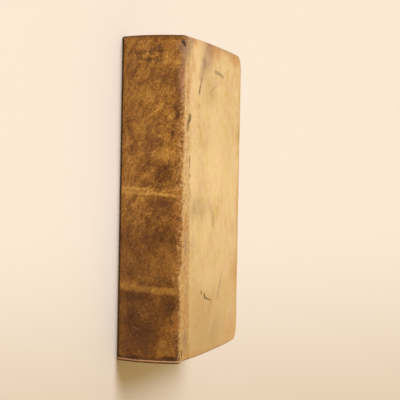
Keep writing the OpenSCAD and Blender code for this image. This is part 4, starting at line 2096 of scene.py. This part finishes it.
@dataclass(frozen=True)
class Studio:
    """Camera, lamp, world and floor.

    Attributes:
        camera_place: The camera's place in millimetres.
        azimuth: Direction it looks in, in degrees from +Y towards +X.
        elevation: Degrees that it looks down.
        roll: Degrees that it leans from an exact quarter turn.
        lens: Focal length in millimetres on a sensor of the given width.
        nearest: Nearest distance that the camera sees, in metres.
        towards_lamp: Direction from the book to the lamp.
        lamp_angle: Width of the lamp in the sky, in degrees.
        floor_dim: The floor's colour far past the tail of the book, where painted shade dims it.
        floor_half: Half the floor's width in metres.
        dim_origin: How far in front of the book the floor's dimming fans out from.
        dim_least: Least distance from there that counts.
        dim_span: Slopes at which the dimming starts and ends.
    """

    camera_place: Triple = (-8.58, -595.44, 217.86)
    azimuth: float = 0.881
    elevation: float = 17.616
    roll: float = 1.362
    lens: float = 99.8
    sensor: float = 36.0
    nearest: float = 0.01
    towards_lamp: Triple = (-25.0, -9.0, 33.0)
    lamp_strength: float = 2.2
    lamp_angle: float = 34.0
    lamp_colour: Colour = (0.94, 0.985, 1.08)
    world_colour: Colour = (1.0, 0.73, 0.33)
    world_strength: float = 0.60
    floor_colour: Colour = tone(241, 237, 237)
    floor_dim: Colour = tone(215, 204, 191)
    floor_half: float = 6.0
    dim_origin: float = 700.0
    dim_least: float = 250.0
    dim_span: tuple[float, float] = (0.01, 0.24)

    def build(self) -> None:
        """Make everything that isn't the book."""
        self._camera()
        self._lamp()
        self._world()
        self._floor()
        bpy.context.scene.view_settings.view_transform = "Standard"

    def _camera(self) -> None:
        """Place the camera, rolled by a quarter turn so that the spine stands upright."""
        azimuth, elevation, roll = (math.radians(a) for a in (self.azimuth, self.elevation, self.roll))
        level = math.cos(elevation)
        ahead = Vector((math.sin(azimuth) * level, math.cos(azimuth) * level, -math.sin(elevation)))
        right = ahead.cross(Vector((0.0, 0.0, 1.0))).normalized()
        up = right.cross(ahead)
        picture_right = up * math.cos(roll) - right * math.sin(roll)
        picture_up = -up * math.sin(roll) - right * math.cos(roll)
        bpy.ops.object.camera_add()
        camera = bpy.context.object
        camera.name = "camera"
        turned = Matrix((picture_right, picture_up, -ahead)).transposed().to_4x4()
        camera.matrix_world = Matrix.Translation(Vector(self.camera_place) * MM) @ turned
        camera.data.lens = self.lens
        camera.data.sensor_width = self.sensor
        camera.data.clip_start = self.nearest
        bpy.context.scene.camera = camera

    def _lamp(self) -> None:
        """Hang one soft lamp over the head of the book."""
        direction = Vector(self.towards_lamp).normalized()
        bpy.ops.object.light_add(type="SUN", location=direction)
        lamp = bpy.context.object
        lamp.name = "key_lamp"
        lamp.rotation_euler = direction.to_track_quat("Z", "Y").to_euler()
        lamp.data.energy = self.lamp_strength
        lamp.data.angle = math.radians(self.lamp_angle)
        lamp.data.color = self.lamp_colour

    def _world(self) -> None:
        """Fill the room with soft warm light."""
        world = bpy.data.worlds.new("room")
        bpy.context.scene.world = world
        world.use_nodes = True
        fill = world.node_tree.nodes["Background"]
        fill.inputs["Color"].default_value = (*self.world_colour, 1.0)
        fill.inputs["Strength"].default_value = self.world_strength

    def _floor(self) -> None:
        """Lay a wide pale floor under the book."""
        bpy.ops.object.select_all(action="DESELECT")
        bpy.ops.mesh.primitive_plane_add(size=2 * self.floor_half)
        floor = Modeller.named("floor")
        g = Graph("pale_floor")
        along, across, _ = g.split(g.position())
        # Painted shade: the floor dims in a fan towards and past the tail of the book.
        slope = along / (across + self.dim_origin).at_least(self.dim_least)
        dim = slope.rise(*self.dim_span)
        colour = g.mix(dim, self.floor_colour, self.floor_dim)
        floor.data.materials.append(g.finish(colour, 0.9, Specular_IOR_Level=0.1))


@dataclass
class Binding:
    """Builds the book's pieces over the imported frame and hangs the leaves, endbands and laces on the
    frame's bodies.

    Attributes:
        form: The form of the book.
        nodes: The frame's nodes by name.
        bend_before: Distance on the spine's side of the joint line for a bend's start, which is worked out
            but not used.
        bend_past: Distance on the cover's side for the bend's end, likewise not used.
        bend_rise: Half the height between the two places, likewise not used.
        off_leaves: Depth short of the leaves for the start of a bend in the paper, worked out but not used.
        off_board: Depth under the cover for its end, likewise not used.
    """

    form: BookForm
    nodes: dict[str, Piece]
    bend_before: float = 1.2
    bend_past: float = 3.0
    bend_rise: float = 0.2
    off_leaves: float = 0.04
    off_board: float = 0.06

    def __post_init__(self) -> None:
        """Make the finishes."""
        self.skin_finish = SkinFinish(self.form.skin_width)
        self.skin = self.skin_finish.build()
        self.leaf_paper = PaperFinish("leaf_edges", tone(222, 198, 152), tone(186, 154, 106), True).build()
        light, dark = tone(232, 214, 176), tone(206, 180, 134)
        self.end_paper = PaperFinish("endpaper", light, dark, stored=True).build()
        self.flyleaf = PaperFinish("flyleaf", light, dark).build()
        self.lining = PaperFinish("lining_paper", tone(206, 186, 148), tone(170, 142, 100)).build()
        self.thread = FibreFinish("waxed_thread", tone(214, 192, 148), tone(150, 120, 80), 0.5).build()
        self.core = FibreFinish("endband_core", tone(222, 186, 132), tone(160, 116, 70), 0.6).build()
        self.thong = FibreFinish("tawed_thong", tone(228, 216, 184), tone(196, 178, 138)).build()
        self.board = FibreFinish("pulp_board", tone(176, 160, 130), tone(136, 118, 90), 1.6, 0.25).build()

    def build(self) -> None:
        """Model and dress everything."""
        self._skins()
        self._leaves()
        self._papers()
        self._bands()
        self._hidden()

    def _skins(self) -> None:
        """Cover the book."""
        hinge, top = self.form.hinge_y * MM, self.form.thickness * MM
        for side, level in ((Side.FRONT, top), (Side.BACK, 0.0)):
            sheet = SkinSheet(self.form, side).build(self.skin, self.skin_finish.stains)
            outwards = self.bend_rise * MM if side is Side.FRONT else -self.bend_rise * MM
            start = (0.0, hinge - self.bend_before * MM, level - outwards)
            end = (0.0, hinge + self.bend_past * MM, level + outwards)
            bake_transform(sheet)
            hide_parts(f"{side.value}_leather")
            if side is Side.FRONT:
                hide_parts("spine_leather")

    def _leaves(self) -> None:
        """Put the leaves in."""
        block = Leaves(self.form).build(self.leaf_paper, self.flyleaf)
        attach(block, "text_block")
        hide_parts("text_block")

    def _papers(self) -> None:
        """Line both boards."""
        form = self.form
        for side in Side:
            sheet = Pastedown(form, side).build(self.end_paper)
            on_leaves = form.cover_depth + form.leaf_play - self.off_leaves
            depths = (on_leaves, form.cover_depth + self.off_board)
            levels = [form.thickness - depth if side is Side.FRONT else depth for depth in depths]
            start, end = ((0.0, form.hinge_y * MM, level * MM) for level in levels)
            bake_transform(sheet)
            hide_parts(f"{side.value}_pastedown")

    def _bands(self) -> None:
        """Add both endbands and the four laces."""
        for end in End:
            band = Endband(self.form, end).build(self.thread)
            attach(band, "text_block")
            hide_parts(f"{end.name.lower()}_endband")
            for side in Side:
                lace = Lace(side, end)
                piece = lace.build(self.core)
                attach(piece, f"{side.value}_cover")
                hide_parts(lace.node)

    def _hidden(self) -> None:
        """Dress the nodes that stay as they are."""
        finishes = {
            "_thong": self.thong,
            "_slip": self.thong,
            "_lining": self.lining,
            "_kettle_stitch": self.thread,
            "_board": self.board,
        }
        for ending, material in finishes.items():
            for piece in [node for name, node in self.nodes.items() if name.endswith(ending)]:
                piece.data.materials.clear()
                piece.data.materials.append(material)


def main() -> None:
    """Build the book on its frame and light it."""
    logging.basicConfig(level=logging.INFO, format="%(name)s: %(message)s")
    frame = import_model()
    noise.seed_set(NOISE_SEED)
    Binding(BookForm.from_frame(frame), frame["nodes"]).build()
    Studio().build()


if __name__ == "__main__":
    main()
